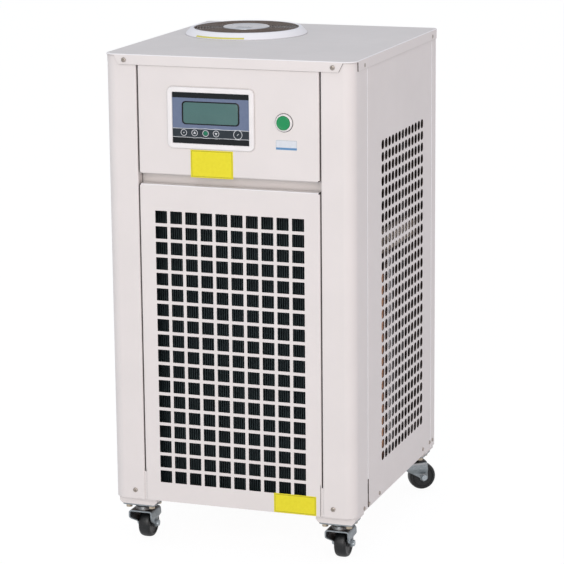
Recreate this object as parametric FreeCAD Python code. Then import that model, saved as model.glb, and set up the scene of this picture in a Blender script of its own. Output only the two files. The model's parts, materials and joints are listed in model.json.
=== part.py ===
"""Free-standing laser chiller on four swivel casters, built from folded sheet steel.

The cabinet is drawn in cabinet coordinates: x across, y from the front face to the
rear, z up from the cabinet's bottom edge. Every piece is moved at the end, so that
the origin lies on the floor below the middle of the finished outline.
"""
import FreeCAD, Part

import math
import os

V = FreeCAD.Vector
X_AXIS = V(1, 0, 0)
Y_AXIS = V(0, 1, 0)
Z_AXIS = V(0, 0, 1)

# Overall size of the cabinet
WIDTH = 440.0
DEPTH = 484.0
HEIGHT = 768.0

# Sheet metal
SHEET = 1.5
CORNER_RADIUS = 20.0
FOLD_RADIUS = 2.5
FACE_GAP = 0.3

# Lid
LID_SKIRT = 17.5
LID_SKIRT_TOP = 202.0
LID_SKIRT_BOTTOM = 192.0
LID_SIDE_START = 20.0
LID_EDGE_CHAMFER = 1.0

# Corner columns
COLUMN_FRONT_LEG = 57.2
COLUMN_SIDE_LEG = 70.2
COLUMN_REAR_SIDE_LEG = 32.0
COLUMN_RETURN = 16.0

# Panels between the columns
PANEL_GAP = 2.5
SIDE_SEAM = 0.8
PANEL_RETURN = 18.0
FINGER_GAP = 17.5
CONTROL_PANEL_HEIGHT = 194.5
PANEL_TOP_GAP = 3.0

# Square holes of the front grille
GRILLE_COLUMNS = 10
GRILLE_TOP_MARGIN = 45.0
GRILLE_HOLE = 20.0
GRILLE_PITCH_X = 26.88
GRILLE_PITCH_Z = 26.58
GRILLE_FIRST_ROW = 44.4

# Slots of the right side panel, each cut as long as three slots of the real field
SLOT_COLUMNS = 13
SLOT_ROWS = 27
SLOT_WIDTH = 14.5
SLOT_HEIGHT = 16.0
SLOT_PITCH_Y = 19.3
SLOT_PITCH_Z = 20.8
SLOT_FIRST_Y = 156.7
SLOT_FIRST_Z = 69.1
SLOTS_PER_CUT = 3

# Base tray, rails and shelf
TRAY_SHEET = 2.0
TRAY_WALL = 50.0
TRAY_DIP_MARGIN = 9.0
TRAY_DIP_DROP = 4.4
RAIL_SETBACK = 22.0
RAIL_LOW = 12.0
RAIL_HIGH = 10.0
RAIL_FLANGE = 24.0
SHELF_DEPTH = 130.0
SHELF_LIP = 12.0

# Casters
FLOOR_GAP = 85.0
CASTER_SIDE_INSET = 41.0
CASTER_FRONT_INSET = 38.0
CASTER_REAR_INSET = 26.0
PAD_WIDTH = 68.7
PAD_DEPTH = 50.0
PAD_DROP = 14.0
PAD_CHAMFER = 5.0
PLATE_WIDTH = 60.0
PLATE_THICKNESS = 2.5
RACE_RADIUS = 17.0
RACE_HEIGHT = 5.5
KINGPIN_RADIUS = 5.0
KINGPIN_FIT = 0.05
KINGPIN_HEAD_RADIUS = 8.0
KINGPIN_HEAD_HEIGHT = 2.5
CROWN_DROP = 14.5
FORK_SHEET = 2.5
FORK_TOP_WIDTH = 43.0
FORK_LOW_WIDTH = 29.0
FORK_NECK_TOP = 14.0
FORK_NECK_BOTTOM = 24.0
FORK_FRONT = 18.0
FORK_BACK = 29.0
FORK_TAIL = 8.0
FORK_TAIL_FLAT = 1.0
CASTER_TRAIL = 20.0
WHEEL_RADIUS = 25.0
WHEEL_WIDTH = 21.0
WHEEL_CROWN = 4.5
HUB_STEP = 7.0
AXLE_RADIUS = 3.0
AXLE_FIT = 0.05
AXLE_HEAD = 5.0
AXLE_HEX = 10.0
BOLT_SPACING_X = 42.0
BOLT_SPACING_Y = 30.0
BOLT_HEX = 10.0
BOLT_HEAD = 6.0
SWIVEL_ANGLES = {"front_left": 0.0, "front_right": 0.0, "rear_left": 20.0, "rear_right": -55.0}

# Fan on the lid
FAN_X = -84.0
FAN_REAR_INSET = 162.0
RING_RADIUS = 107.0
RING_HEIGHT = 11.5
RING_SHOULDER = 98.0
RING_BORE = 92.5
DUCT_RADIUS = 96.0
DUCT_WALL = 2.0
DUCT_DEPTH = 62.0
DUCT_FLANGE = 8.0
STRUT_WIDTH = 8.0
STRUT_HEIGHT = 4.0
STRUT_COUNT = 4
MOTOR_RADIUS = 40.0
MOTOR_HEIGHT = 22.0
SHAFT_RADIUS = 4.0
SHAFT_FIT = 0.05
ROTOR_RADIUS = 88.0
HUB_RADIUS = 43.0
HUB_HEIGHT = 34.0
HUB_LIFT = 1.0
BLADE_COUNT = 7
BLADE_THICKNESS = 2.2
BLADE_CHORD_ROOT = 40.0
BLADE_CHORD_TIP = 52.0
BLADE_PITCH_ROOT = 38.0
BLADE_PITCH_TIP = 22.0
GUARD_RADIUS = 91.5
GUARD_WIRE = 2.0
GUARD_RINGS = 3
GUARD_DISC_RADIUS = 41.0
GUARD_DISC_HEIGHT = 1.5
GUARD_SPOKES = 8

# Controller in the upper panel
CONTROLLER_SIDE = 129.5
CONTROLLER_DROP = 97.5
BEZEL_WIDTH = 152.0
BEZEL_HEIGHT = 102.0
BEZEL_PROUD = 4.0
BEZEL_RADIUS = 9.0
BEZEL_RIM = 8.5
MODULE_GAP = 0.2
MODULE_DEPTH = 38.0
MODULE_WALL = 5.0
OVERLAY_THICKNESS = 2.0
OVERLAY_RADIUS = 5.0
LCD_WIDTH = 96.0
LCD_HEIGHT = 38.0
LCD_RISE = 8.5
LCD_THICKNESS = 0.6

# Push button in the upper panel
BUTTON_SIDE = 60.2
BUTTON_DROP = 98.8
BUTTON_BEZEL_RADIUS = 14.8
BUTTON_BEZEL_PROUD = 4.5
BUTTON_CAP_RADIUS = 11.5
BUTTON_CAP_PROUD = 6.5
BUTTON_STEM_RADIUS = 8.5
BUTTON_FIT = 0.3
BUTTON_TRAVEL = 3.0
BUTTON_BARREL = 24.0
BUTTON_BARREL_RADIUS = 11.0
BUTTON_EDGE = 1.2
SWITCH_WIDTH = 26.0
SWITCH_DEPTH = 18.0

# Condenser behind the front grille
COIL_SIDE_GAP = 55.0
COIL_FRONT = 32.0
COIL_DEPTH = 44.0
COIL_TOP_GAP = 37.5
COIL_PLATE = 2.0
COIL_PLATE_LIP = 6.0

# Refrigeration and water circuit
COMPRESSOR_SIDE_GAP = 26.7
COMPRESSOR_REAR_GAP = 36.7
COMPRESSOR_RADIUS = 62.0
COMPRESSOR_HEIGHT = 250.0
COMPRESSOR_DOME = 26.0
COMPRESSOR_FOOT = 70.0
FOOT_SHEET = 3.0
GROMMET_RADIUS = 10.0
GROMMET_HEIGHT = 16.0
TANK_SIDE_GAP = 19.7
TANK_REAR_GAP = 16.7
TANK_COMPRESSOR_GAP = 43.0
TANK_PUMP_GAP = 42.0
TANK_HEIGHT = 300.0
TANK_RADIUS = 16.0
TANK_LID = 8.0
PUMP_SHIFT = 17.0
PUMP_COIL_GAP = 48.0
PUMP_RADIUS = 42.0
PUMP_LENGTH = 120.0
PUMP_HEAD_RADIUS = 48.0
PUMP_HEAD_LENGTH = 34.0
PUMP_FOOT = 14.0
DRIER_X = 40.0
DRIER_COIL_GAP = 110.0
DRIER_RADIUS = 14.0
DRIER_LENGTH = 110.0
DRIER_NECK = 16.0
SUCTION_RADIUS = 8.0
SUCTION_BEND = 24.0
SUCTION_SIDE_GAP = 18.7
SUCTION_Y = 215.0
LIQUID_RADIUS = 5.0
LIQUID_BEND = 18.0
SLEEVE_RADIUS = 19.0
SLEEVE_Z = 400.0
POST_WIDTH = 26.0
POST_SIDE_GAP = 21.7
POST_Y = 262.0
ELECTRICS_WIDTH = 250.0
ELECTRICS_DEPTH = 90.0
ELECTRICS_HEIGHT = 120.0

# Connections on the rear
PORT_SIDE = 48.5
OUTLET_Z = 250.0
INLET_Z = 170.0
PORT_HEX = 30.0
PORT_HEX_LENGTH = 12.0
PORT_RADIUS = 10.5
PORT_BORE = 7.5
PORT_LENGTH = 24.0
PORT_SHANK_RADIUS = 12.0
DRAIN_Z = 40.0
DRAIN_SIDE = 98.5
DRAIN_RADIUS = 11.0
DRAIN_LENGTH = 14.0
DRAIN_HEX = 17.0
FILLER_SIDE = 38.5
FILLER_DROP = 123.5
FILLER_FLANGE_RADIUS = 34.0
FILLER_FLANGE = 4.0
FILLER_NECK_RADIUS = 21.0
FILLER_NECK_WALL = 3.0
FILLER_NECK_LENGTH = 20.0
CAP_RADIUS = 27.0
CAP_LENGTH = 22.0
CAP_WALL = 3.5
CAP_FIT = 0.08
CAP_RIBS = 12
GAUGE_DROP = 210.0
GAUGE_WIDTH = 26.0
GAUGE_LENGTH = 180.0
GAUGE_DEPTH = 9.0
GAUGE_SLOT = 10.0
GLAND_HEX = 24.0
GLAND_HEX_LENGTH = 8.0
GLAND_DOME_RADIUS = 10.0
GLAND_DOME_LENGTH = 14.0
GLAND_BORE = 5.0

# Places that follow from the sizes above
HALF = WIDTH / 2
SKIN = SHEET + FACE_GAP
SKIN_HALF = HALF - SKIN
SKIN_REAR = DEPTH - SKIN
INNER = SKIN + SHEET
INNER_HALF = HALF - INNER
INNER_REAR = DEPTH - INNER
COLUMN_EDGE = SKIN_HALF - COLUMN_FRONT_LEG
PANEL_HALF = COLUMN_EDGE - PANEL_GAP
SIDE_FRONT = SKIN + COLUMN_SIDE_LEG + SIDE_SEAM
SIDE_REAR = SKIN_REAR - COLUMN_REAR_SIDE_LEG - SIDE_SEAM
LID_UNDER = HEIGHT - SHEET
PANEL_TOP = LID_UNDER - PANEL_TOP_GAP
CONTROL_PANEL_BOTTOM = PANEL_TOP - CONTROL_PANEL_HEIGHT
GRILLE_PANEL_TOP = CONTROL_PANEL_BOTTOM - FINGER_GAP
GRILLE_ROWS = int((GRILLE_PANEL_TOP - GRILLE_TOP_MARGIN - GRILLE_FIRST_ROW) / GRILLE_PITCH_Z) + 1
GRILLE_FIRST_X = -GRILLE_PITCH_X * (GRILLE_COLUMNS - 1) / 2
CONTROLLER_X = CONTROLLER_SIDE - PANEL_HALF
CONTROLLER_Z = PANEL_TOP - CONTROLLER_DROP
BUTTON_X = PANEL_HALF - BUTTON_SIDE
BUTTON_Z = PANEL_TOP - BUTTON_DROP
FRONT_REACH = BUTTON_CAP_PROUD - SKIN
REAR_REACH = FILLER_FLANGE + CAP_LENGTH - SKIN
FRONT_Y = (FRONT_REACH - DEPTH - REAR_REACH) / 2
TO_ORIGIN = V(0, FRONT_Y, FLOOR_GAP)
CASTER_X = HALF - CASTER_SIDE_INSET
FAN_Y = DEPTH - FAN_REAR_INSET
TRAY_HALF = INNER_HALF - TRAY_SHEET
TRAY_REAR = INNER_REAR - TRAY_SHEET
COIL_WIDTH = WIDTH - 2 * COIL_SIDE_GAP
COIL_HEIGHT = GRILLE_PANEL_TOP - RAIL_LOW - COIL_TOP_GAP - TRAY_SHEET
COMPRESSOR_X = TRAY_HALF - COMPRESSOR_SIDE_GAP - COMPRESSOR_FOOT
COMPRESSOR_Y = TRAY_REAR - COMPRESSOR_REAR_GAP - COMPRESSOR_FOOT
TANK_LEFT = TANK_SIDE_GAP - TRAY_HALF
TANK_WIDTH = COMPRESSOR_X - COMPRESSOR_FOOT - TANK_COMPRESSOR_GAP - TANK_LEFT
TANK_X = TANK_LEFT + TANK_WIDTH / 2
COIL_BACK = COIL_FRONT + COIL_DEPTH
PUMP_X = TANK_X - PUMP_SHIFT
PUMP_Y = COIL_BACK + PUMP_COIL_GAP + PUMP_HEAD_RADIUS
TANK_FRONT = PUMP_Y + PUMP_HEAD_RADIUS + TANK_PUMP_GAP
TANK_DEPTH = TRAY_REAR - TANK_REAR_GAP - TANK_FRONT
TANK_Y = TANK_FRONT + TANK_DEPTH / 2
DRIER_Y = COIL_BACK + DRIER_COIL_GAP + DRIER_RADIUS
SUCTION_X = TRAY_HALF - SUCTION_SIDE_GAP
POST_X = INNER_HALF - POST_SIDE_GAP
PLATE_TOP = -PAD_DROP
PLATE_UNDER = PLATE_TOP - PLATE_THICKNESS
CROWN_TOP = PLATE_TOP - CROWN_DROP
CROWN_UNDER = CROWN_TOP - FORK_SHEET
AXLE_Z = WHEEL_RADIUS - FLOOR_GAP
CASTER_Y = {"front": CASTER_FRONT_INSET, "rear": DEPTH - CASTER_REAR_INSET}
PORT_X = PANEL_HALF - PORT_SIDE
DRAIN_X = DRAIN_SIDE - PANEL_HALF
FILLER_X = FILLER_SIDE - PANEL_HALF
FILLER_Z = PANEL_TOP - FILLER_DROP
GAUGE_X = FILLER_X
GAUGE_Z = FILLER_Z - GAUGE_DROP
GLAND_X = PORT_X
GLAND_Z = FILLER_Z


def box(x_range, y_range, z_range):
    """Block between two x, two y and two z values."""
    (x0, x1), (y0, y1), (z0, z1) = x_range, y_range, z_range
    return Part.makeBox(x1 - x0, y1 - y0, z1 - z0, V(x0, y0, z0))


def cylinder(radius, start, direction, length):
    """Round bar from a point along a direction."""
    return Part.makeCylinder(radius, length, start, direction)


def hexagon(across_flats, start, direction, length):
    """Hexagonal bar from a point along a direction."""
    corner = across_flats / math.sqrt(3)
    points = [V(corner * math.cos(k * math.pi / 3), corner * math.sin(k * math.pi / 3), 0) for k in range(7)]
    bar = Part.Face(Part.makePolygon(points)).extrude(V(0, 0, length))
    bar.Placement = FreeCAD.Placement(start, FreeCAD.Rotation(Z_AXIS, direction))
    return bar


def outline(corners, radii):
    """Closed flat wire through the corners, each rounded by its own radius.

    A corner's arc starts where the tangent length, radius times the tangent of half
    the turn, leaves the corner.
    """
    count = len(corners)
    cuts = []
    for k, corner in enumerate(corners):
        before = (corners[k - 1] - corner).normalize()
        after = (corners[(k + 1) % count] - corner).normalize()
        if radii[k] <= 0:
            cuts.append((corner, None, corner))
            continue
        half = before.getAngle(after) / 2
        reach = radii[k] / math.tan(half)
        middle = (before + after).normalize()
        centre = corner + middle * (radii[k] / math.sin(half))
        cuts.append((corner + before * reach, centre - middle * radii[k], corner + after * reach))
    edges = []
    for k, (start, middle, end) in enumerate(cuts):
        if middle is not None:
            edges.append(Part.Arc(start, middle, end).toShape())
        following = cuts[(k + 1) % count][0]
        if end.distanceToPoint(following) > 1e-6:
            edges.append(Part.makeLine(end, following))
    return Part.Wire(edges)


def prism(corners, direction, radii=None):
    """Solid pushed out of a flat outline along a vector."""
    wire = outline(corners, radii or [0] * len(corners))
    return Part.Face(wire).extrude(direction)


def rounded_box(x_range, z_range, y_range, radius):
    """Block with four rounded edges that run along y."""
    (x0, x1), (z0, z1), (y0, y1) = x_range, z_range, y_range
    corners = [V(x0, y0, z0), V(x1, y0, z0), V(x1, y0, z1), V(x0, y0, z1)]
    return prism(corners, V(0, y1 - y0, 0), [radius] * 4)


def folded_sheet(path, normal, thickness, direction, inside_radii):
    """Folded strip: a path in a plane, thickened to its left seen along -normal.

    inside_radii holds one inside bend radius for each inner point of the path.
    """
    count = len(path)
    sides = [(path[k + 1] - path[k]).normalize() for k in range(count - 1)]
    lefts = [normal.cross(side) for side in sides]
    near, far, near_radii, far_radii = [], [], [], []
    for k, point in enumerate(path):
        if k in (0, count - 1):
            left = lefts[0] if k == 0 else lefts[-1]
            far.append(point + left * thickness)
            far_radii.append(0)
            near_radii.append(0)
        else:
            mitre = (lefts[k - 1] + lefts[k]).normalize()
            far.append(point + mitre * (thickness / mitre.dot(lefts[k])))
            turns_left = normal.dot(sides[k - 1].cross(sides[k])) > 0
            radius = inside_radii[k - 1]
            outer = radius + thickness if radius > 0 else 0
            far_radii.append(radius if turns_left else outer)
            near_radii.append(outer if turns_left else radius)
        near.append(point)
    return prism(near + far[::-1], direction, near_radii + far_radii[::-1])


def turned(profile, base, direction):
    """Solid turned from (radius, height) points about an axis through the base."""
    points = [V(radius, 0, height) for radius, height in profile]
    solid = Part.Face(Part.makePolygon(points + points[:1])).revolve(V(0, 0, 0), Z_AXIS, 360)
    solid.Placement = FreeCAD.Placement(base, FreeCAD.Rotation(Z_AXIS, direction))
    return solid


def tube(points, bend, radius):
    """Round tube along straight runs that are joined by tangent bends."""
    edges = []
    start = points[0]
    for k in range(1, len(points) - 1):
        corner = points[k]
        before = (points[k - 1] - corner).normalize()
        after = (points[k + 1] - corner).normalize()
        half = before.getAngle(after) / 2
        reach = bend / math.tan(half)
        middle = (before + after).normalize()
        touch = corner + middle * (bend / math.sin(half) - bend)
        edges.append(Part.makeLine(start, corner + before * reach))
        edges.append(Part.Arc(corner + before * reach, touch, corner + after * reach).toShape())
        start = corner + after * reach
    edges.append(Part.makeLine(start, points[-1]))
    path = Part.Wire(edges)
    circle = Part.Wire(Part.makeCircle(radius, points[0], points[1] - points[0]))
    return path.makePipeShell([circle], True, False)


def fuse(solids):
    """One solid from touching or overlapping solids."""
    joined = solids[0].fuse(solids[1:]) if len(solids) > 1 else solids[0]
    return joined.removeSplitter()


def mirrored(shape):
    """Copy on the other side of the cabinet's middle plane."""
    return shape.mirror(V(0, 0, 0), X_AXIS)


# Casing
def tray_block(inset, low, high):
    """Block with the tray's outline, drawn in by an inset, between two levels."""
    x, y0, y1 = INNER_HALF - inset, INNER + inset, INNER_REAR - inset
    radius = CORNER_RADIUS - SHEET + FACE_GAP - inset
    corners = [V(-x, y0, low), V(x, y0, low), V(x, y1, low), V(-x, y1, low)]
    return prism(corners, V(0, 0, high - low), [radius] * 4)


def base_tray():
    """Open steel tray that carries everything, with its front wall lower behind the grille's holes."""
    tray = tray_block(0, 0, TRAY_WALL).cut(tray_block(TRAY_SHEET, TRAY_SHEET, 2 * TRAY_WALL))
    half = GRILLE_HOLE / 2 + TRAY_DIP_MARGIN - GRILLE_FIRST_X
    foot = GRILLE_FIRST_ROW - GRILLE_HOLE / 2 - TRAY_DIP_DROP
    return tray.cut(box((-half, half), (0, CORNER_RADIUS), (foot, 2 * TRAY_WALL)))


def over_tray(shape):
    """Sheet piece with its returns notched where the tray's wall stands."""
    return shape.cut(tray_block(0, -SHEET, TRAY_WALL + FACE_GAP))


def front_column():
    """Right front corner: broad front leg, round corner and side leg, with returns."""
    inside = CORNER_RADIUS - SHEET
    side_edge = SKIN + COLUMN_SIDE_LEG
    path = [V(COLUMN_EDGE, SKIN + COLUMN_RETURN, 0), V(COLUMN_EDGE, SKIN, 0), V(SKIN_HALF, SKIN, 0),
            V(SKIN_HALF, side_edge, 0), V(SKIN_HALF - COLUMN_RETURN, side_edge, 0)]
    sheet = folded_sheet(path, Z_AXIS, SHEET, V(0, 0, LID_UNDER), [FOLD_RADIUS - SHEET, inside, 0])
    return over_tray(sheet)


def rear_column():
    """Right rear corner with a narrow side leg."""
    inside = CORNER_RADIUS - SHEET
    side_edge = SKIN_REAR - COLUMN_REAR_SIDE_LEG
    path = [V(SKIN_HALF - COLUMN_RETURN, side_edge, 0), V(SKIN_HALF, side_edge, 0),
            V(SKIN_HALF, SKIN_REAR, 0), V(COLUMN_EDGE, SKIN_REAR, 0),
            V(COLUMN_EDGE, SKIN_REAR - COLUMN_RETURN, 0)]
    sheet = folded_sheet(path, Z_AXIS, SHEET, V(0, 0, LID_UNDER), [0, inside, FOLD_RADIUS - SHEET])
    return over_tray(sheet)


def cross_rail():
    """Channel between the front columns, set back behind the finger gap."""
    front = SKIN + RAIL_SETBACK
    low = GRILLE_PANEL_TOP - RAIL_LOW
    high = CONTROL_PANEL_BOTTOM + RAIL_HIGH
    x = INNER_HALF
    back = front + RAIL_FLANGE
    path = [V(-x, back, low), V(-x, front, low), V(-x, front, high), V(-x, back, high)]
    return folded_sheet(path, X_AXIS, -SHEET, V(2 * x, 0, 0), [FOLD_RADIUS - SHEET] * 2)


def electrics_shelf():
    """Shelf behind the cross rail, folded up at both ends."""
    front = SKIN + RAIL_SETBACK + RAIL_FLANGE
    low = GRILLE_PANEL_TOP - RAIL_LOW
    x = SKIN_HALF - PANEL_RETURN
    lip = low + SHELF_LIP
    path = [V(-x, front, lip), V(-x, front, low), V(x, front, low), V(x, front, lip)]
    return folded_sheet(path, Y_AXIS, -SHEET, V(0, SHELF_DEPTH, 0), [FOLD_RADIUS - SHEET] * 2)


def lid():
    """Flat top with four folded skirts and a round mouth for the fan."""
    top = prism([V(-HALF, 0, LID_UNDER), V(HALF, 0, LID_UNDER), V(HALF, DEPTH, LID_UNDER),
                 V(-HALF, DEPTH, LID_UNDER)], V(0, 0, SHEET), [CORNER_RADIUS] * 4)
    foot = HEIGHT - LID_SKIRT
    shoulder = LID_SKIRT_TOP - CORNER_RADIUS / 2
    corners = [V(-LID_SKIRT_BOTTOM, 0, foot), V(LID_SKIRT_BOTTOM, 0, foot), V(shoulder, 0, LID_UNDER),
               V(-shoulder, 0, LID_UNDER)]
    front = prism(corners, V(0, SHEET, 0))
    rear = front.translated(V(0, DEPTH - SHEET, 0))
    side = box((HALF - SHEET, HALF), (LID_SIDE_START, DEPTH - LID_SIDE_START), (foot, LID_UNDER))
    folded = fuse([top, front, rear, side, mirrored(side)])
    edges = [edge for edge in folded.Edges
             if all(abs(vertex.Z - HEIGHT) < FACE_GAP for vertex in edge.Vertexes)]
    folded = folded.makeChamfer(LID_EDGE_CHAMFER, edges)
    mouth = cylinder(RING_BORE, V(FAN_X, FAN_Y, LID_UNDER - SHEET), Z_AXIS, 3 * SHEET)
    return folded.cut(mouth)


def panel_blank(low, high, depth_start, direction):
    """Panel between the columns with returns folded towards the inside."""
    back = depth_start + direction * PANEL_RETURN
    path = [V(-PANEL_HALF, back, low), V(-PANEL_HALF, depth_start, low), V(PANEL_HALF, depth_start, low),
            V(PANEL_HALF, back, low)]
    inside = [FOLD_RADIUS - SHEET] * 2
    return folded_sheet(path, Z_AXIS, SHEET * direction, V(0, 0, high - low), inside)


def front_flange(level, upward):
    """Edge of a front panel that is folded back at the finger gap."""
    z_range = (level, level + SHEET) if upward else (level - SHEET, level)
    inner = PANEL_HALF - SHEET
    return box((-inner, inner), (SKIN + SHEET, SKIN + PANEL_RETURN), z_range)


def control_panel():
    """Upper front panel with the openings for the controller and the button."""
    blank = panel_blank(CONTROL_PANEL_BOTTOM, PANEL_TOP, SKIN, 1)
    panel = fuse([blank, front_flange(CONTROL_PANEL_BOTTOM, True)])
    inset = BEZEL_RIM - MODULE_GAP - MODULE_WALL
    half_x = BEZEL_WIDTH / 2 - BEZEL_RIM + inset
    half_z = BEZEL_HEIGHT / 2 - BEZEL_RIM + inset
    window = box((CONTROLLER_X - half_x, CONTROLLER_X + half_x), (0, INNER + SHEET),
                 (CONTROLLER_Z - half_z, CONTROLLER_Z + half_z))
    hole = cylinder(BUTTON_BARREL_RADIUS + MODULE_GAP, V(BUTTON_X, 0, BUTTON_Z), Y_AXIS, INNER + SHEET)
    return panel.cut([window, hole])


def grille_panel():
    """Lower front panel with its square punched field; it pulls straight off."""
    blank = over_tray(panel_blank(0, GRILLE_PANEL_TOP, SKIN, 1))
    panel = fuse([blank, front_flange(GRILLE_PANEL_TOP, False)])
    half = GRILLE_HOLE / 2
    holes = []
    for column in range(GRILLE_COLUMNS):
        x = GRILLE_FIRST_X + column * GRILLE_PITCH_X
        for row in range(GRILLE_ROWS):
            z = GRILLE_FIRST_ROW + row * GRILLE_PITCH_Z
            holes.append(box((x - half, x + half), (0, INNER + SHEET), (z - half, z + half)))
    return panel.cut(Part.makeCompound(holes))


def side_panel():
    """Plain right side panel between the columns, with returns at both ends."""
    inner = SKIN_HALF - PANEL_RETURN
    path = [V(inner, SIDE_FRONT, 0), V(SKIN_HALF, SIDE_FRONT, 0), V(SKIN_HALF, SIDE_REAR, 0),
            V(inner, SIDE_REAR, 0)]
    return over_tray(folded_sheet(path, Z_AXIS, SHEET, V(0, 0, PANEL_TOP), [0, 0]))


def slotted(panel):
    """Side panel with its field of ventilation slots."""
    cuts = []
    height = SLOT_PITCH_Z * (SLOTS_PER_CUT - 1) + SLOT_HEIGHT
    for column in range(SLOT_COLUMNS):
        y = SLOT_FIRST_Y + column * SLOT_PITCH_Y
        for row in range(0, SLOT_ROWS, SLOTS_PER_CUT):
            z = SLOT_FIRST_Z + row * SLOT_PITCH_Z - SLOT_HEIGHT / 2
            y_range = (y - SLOT_WIDTH / 2, y + SLOT_WIDTH / 2)
            cuts.append(box((INNER_HALF - SHEET, HALF), y_range, (z, z + height)))
    return panel.cut(Part.makeCompound(cuts))


def rear_panel():
    """Rear panel with the openings for the connections."""
    blank = over_tray(panel_blank(0, PANEL_TOP, SKIN_REAR, -1))
    start = INNER_REAR - SHEET
    reach = INNER + SHEET
    holes = [cylinder(PORT_SHANK_RADIUS, V(PORT_X, start, OUTLET_Z), Y_AXIS, reach),
             cylinder(PORT_SHANK_RADIUS, V(PORT_X, start, INLET_Z), Y_AXIS, reach),
             cylinder(DRAIN_RADIUS, V(DRAIN_X, start, DRAIN_Z), Y_AXIS, reach),
             cylinder(FILLER_NECK_RADIUS, V(FILLER_X, start, FILLER_Z), Y_AXIS, reach),
             cylinder(GLAND_DOME_RADIUS, V(GLAND_X, start, GLAND_Z), Y_AXIS, reach)]
    return blank.cut(Part.makeCompound(holes))


# Casters
def caster_pads():
    """Four chamfered pads that stand the casters off the tray."""
    x, y, cut = PAD_WIDTH / 2, PAD_DEPTH / 2, PAD_CHAMFER
    corners = [V(-x, -y, 0), V(x, -y, 0), V(x, -y, cut - PAD_DROP), V(x - cut, -y, -PAD_DROP),
               V(cut - x, -y, -PAD_DROP), V(-x, -y, cut - PAD_DROP)]
    pad = prism(corners, V(0, PAD_DEPTH, 0))
    return at_casters(pad)


def at_casters(shape):
    """Four copies of a shape, one over each caster's swivel axis."""
    copies = [shape.translated(V(side * CASTER_X, y, 0)) for side in (-1, 1) for y in CASTER_Y.values()]
    return Part.makeCompound(copies)


def caster_plates():
    """Top plates with their upper races and riveted kingpins."""
    x, y = PLATE_WIDTH / 2, PAD_DEPTH / 2
    plate = box((-x, x), (-y, y), (PLATE_UNDER, PLATE_TOP))
    race = cylinder(RACE_RADIUS, V(0, 0, PLATE_UNDER - RACE_HEIGHT), Z_AXIS, RACE_HEIGHT)
    pin = cylinder(KINGPIN_RADIUS, V(0, 0, CROWN_UNDER), Z_AXIS, PLATE_UNDER - CROWN_UNDER)
    foot = V(0, 0, CROWN_UNDER - KINGPIN_HEAD_HEIGHT)
    head = cylinder(KINGPIN_HEAD_RADIUS, foot, Z_AXIS, KINGPIN_HEAD_HEIGHT)
    return at_casters(fuse([plate, race, pin, head]))


def caster_bolts():
    """Sixteen hexagon heads under the top plates."""
    heads = []
    for side_x in (-1, 1):
        for side_y in (-1, 1):
            start = V(side_x * BOLT_SPACING_X / 2, side_y * BOLT_SPACING_Y / 2, PLATE_UNDER - BOLT_HEAD)
            heads.append(hexagon(BOLT_HEX, start, Z_AXIS, BOLT_HEAD))
    return at_casters(Part.makeCompound(heads))


def caster_fork():
    """Pressed fork: a crown over the wheel and two legs that neck in to the axle."""
    top, low = FORK_TOP_WIDTH / 2, FORK_LOW_WIDTH / 2
    neck = CROWN_TOP - FORK_NECK_TOP
    waist = CROWN_TOP - FORK_NECK_BOTTOM
    foot = AXLE_Z - FORK_TAIL
    front = -FORK_FRONT
    half = [V(low, front, foot), V(low, front, waist), V(top, front, neck), V(top, front, CROWN_TOP)]
    path = half + [V(-point.x, point.y, point.z) for point in reversed(half)]
    radii = [0, 0, FORK_SHEET, FORK_SHEET, 0, 0]
    bent = folded_sheet(path, -Y_AXIS, FORK_SHEET, V(0, FORK_FRONT + FORK_BACK, 0), radii)
    side = [V(-top, front, CROWN_TOP), V(-top, CASTER_TRAIL + FORK_TAIL / 2, CROWN_TOP),
            V(-top, FORK_BACK, foot), V(-top, CASTER_TRAIL - FORK_TAIL, foot), V(-top, front, neck)]
    tail = FORK_TAIL - FORK_TAIL_FLAT
    trim = prism(side, V(2 * top, 0, 0), [0, 0, tail, tail, 0])
    race_height = PLATE_UNDER - RACE_HEIGHT - CROWN_TOP
    race = cylinder(RACE_RADIUS - FORK_SHEET, V(0, 0, CROWN_TOP), Z_AXIS, race_height)
    bore = cylinder(KINGPIN_RADIUS + KINGPIN_FIT, V(0, 0, CROWN_UNDER), Z_AXIS, CROWN_DROP)
    axle_hole = cylinder(AXLE_RADIUS, V(-top, CASTER_TRAIL, AXLE_Z), X_AXIS, 2 * top)
    return fuse([bent.common(trim), race]).cut([bore, axle_hole])


def caster_wheel():
    """Crowned wheel with a raised hub and a bore for the axle."""
    half = WHEEL_WIDTH / 2
    hub = FORK_LOW_WIDTH / 2 - FORK_SHEET - FACE_GAP
    bore = AXLE_RADIUS + AXLE_FIT
    rim = WHEEL_RADIUS - WHEEL_CROWN
    profile = [(bore, -hub), (HUB_STEP, -hub), (rim, -half), (WHEEL_RADIUS, WHEEL_CROWN - half),
               (WHEEL_RADIUS, half - WHEEL_CROWN), (rim, half), (HUB_STEP, hub), (bore, hub)]
    return turned(profile, V(0, CASTER_TRAIL, AXLE_Z), X_AXIS)


def caster_axle():
    """Axle bolt through the fork's legs, with its head and nut outside them."""
    half = FORK_LOW_WIDTH / 2
    shank = cylinder(AXLE_RADIUS, V(-half, CASTER_TRAIL, AXLE_Z), X_AXIS, 2 * half + AXLE_HEAD)
    head = hexagon(AXLE_HEX, V(-half - AXLE_HEAD, CASTER_TRAIL, AXLE_Z), X_AXIS, AXLE_HEAD)
    nut = hexagon(AXLE_HEX, V(half, CASTER_TRAIL, AXLE_Z), X_AXIS, AXLE_HEAD)
    return fuse([shank, head, nut])


def placed_caster(shape, corner):
    """Caster piece turned about its swivel axis and moved to its corner."""
    row, side = corner.split("_")
    turned_piece = shape.copy()
    turned_piece.rotate(V(0, 0, 0), Z_AXIS, SWIVEL_ANGLES[corner])
    x = CASTER_X if side == "right" else -CASTER_X
    return turned_piece.translated(V(x, CASTER_Y[row], 0))


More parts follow.
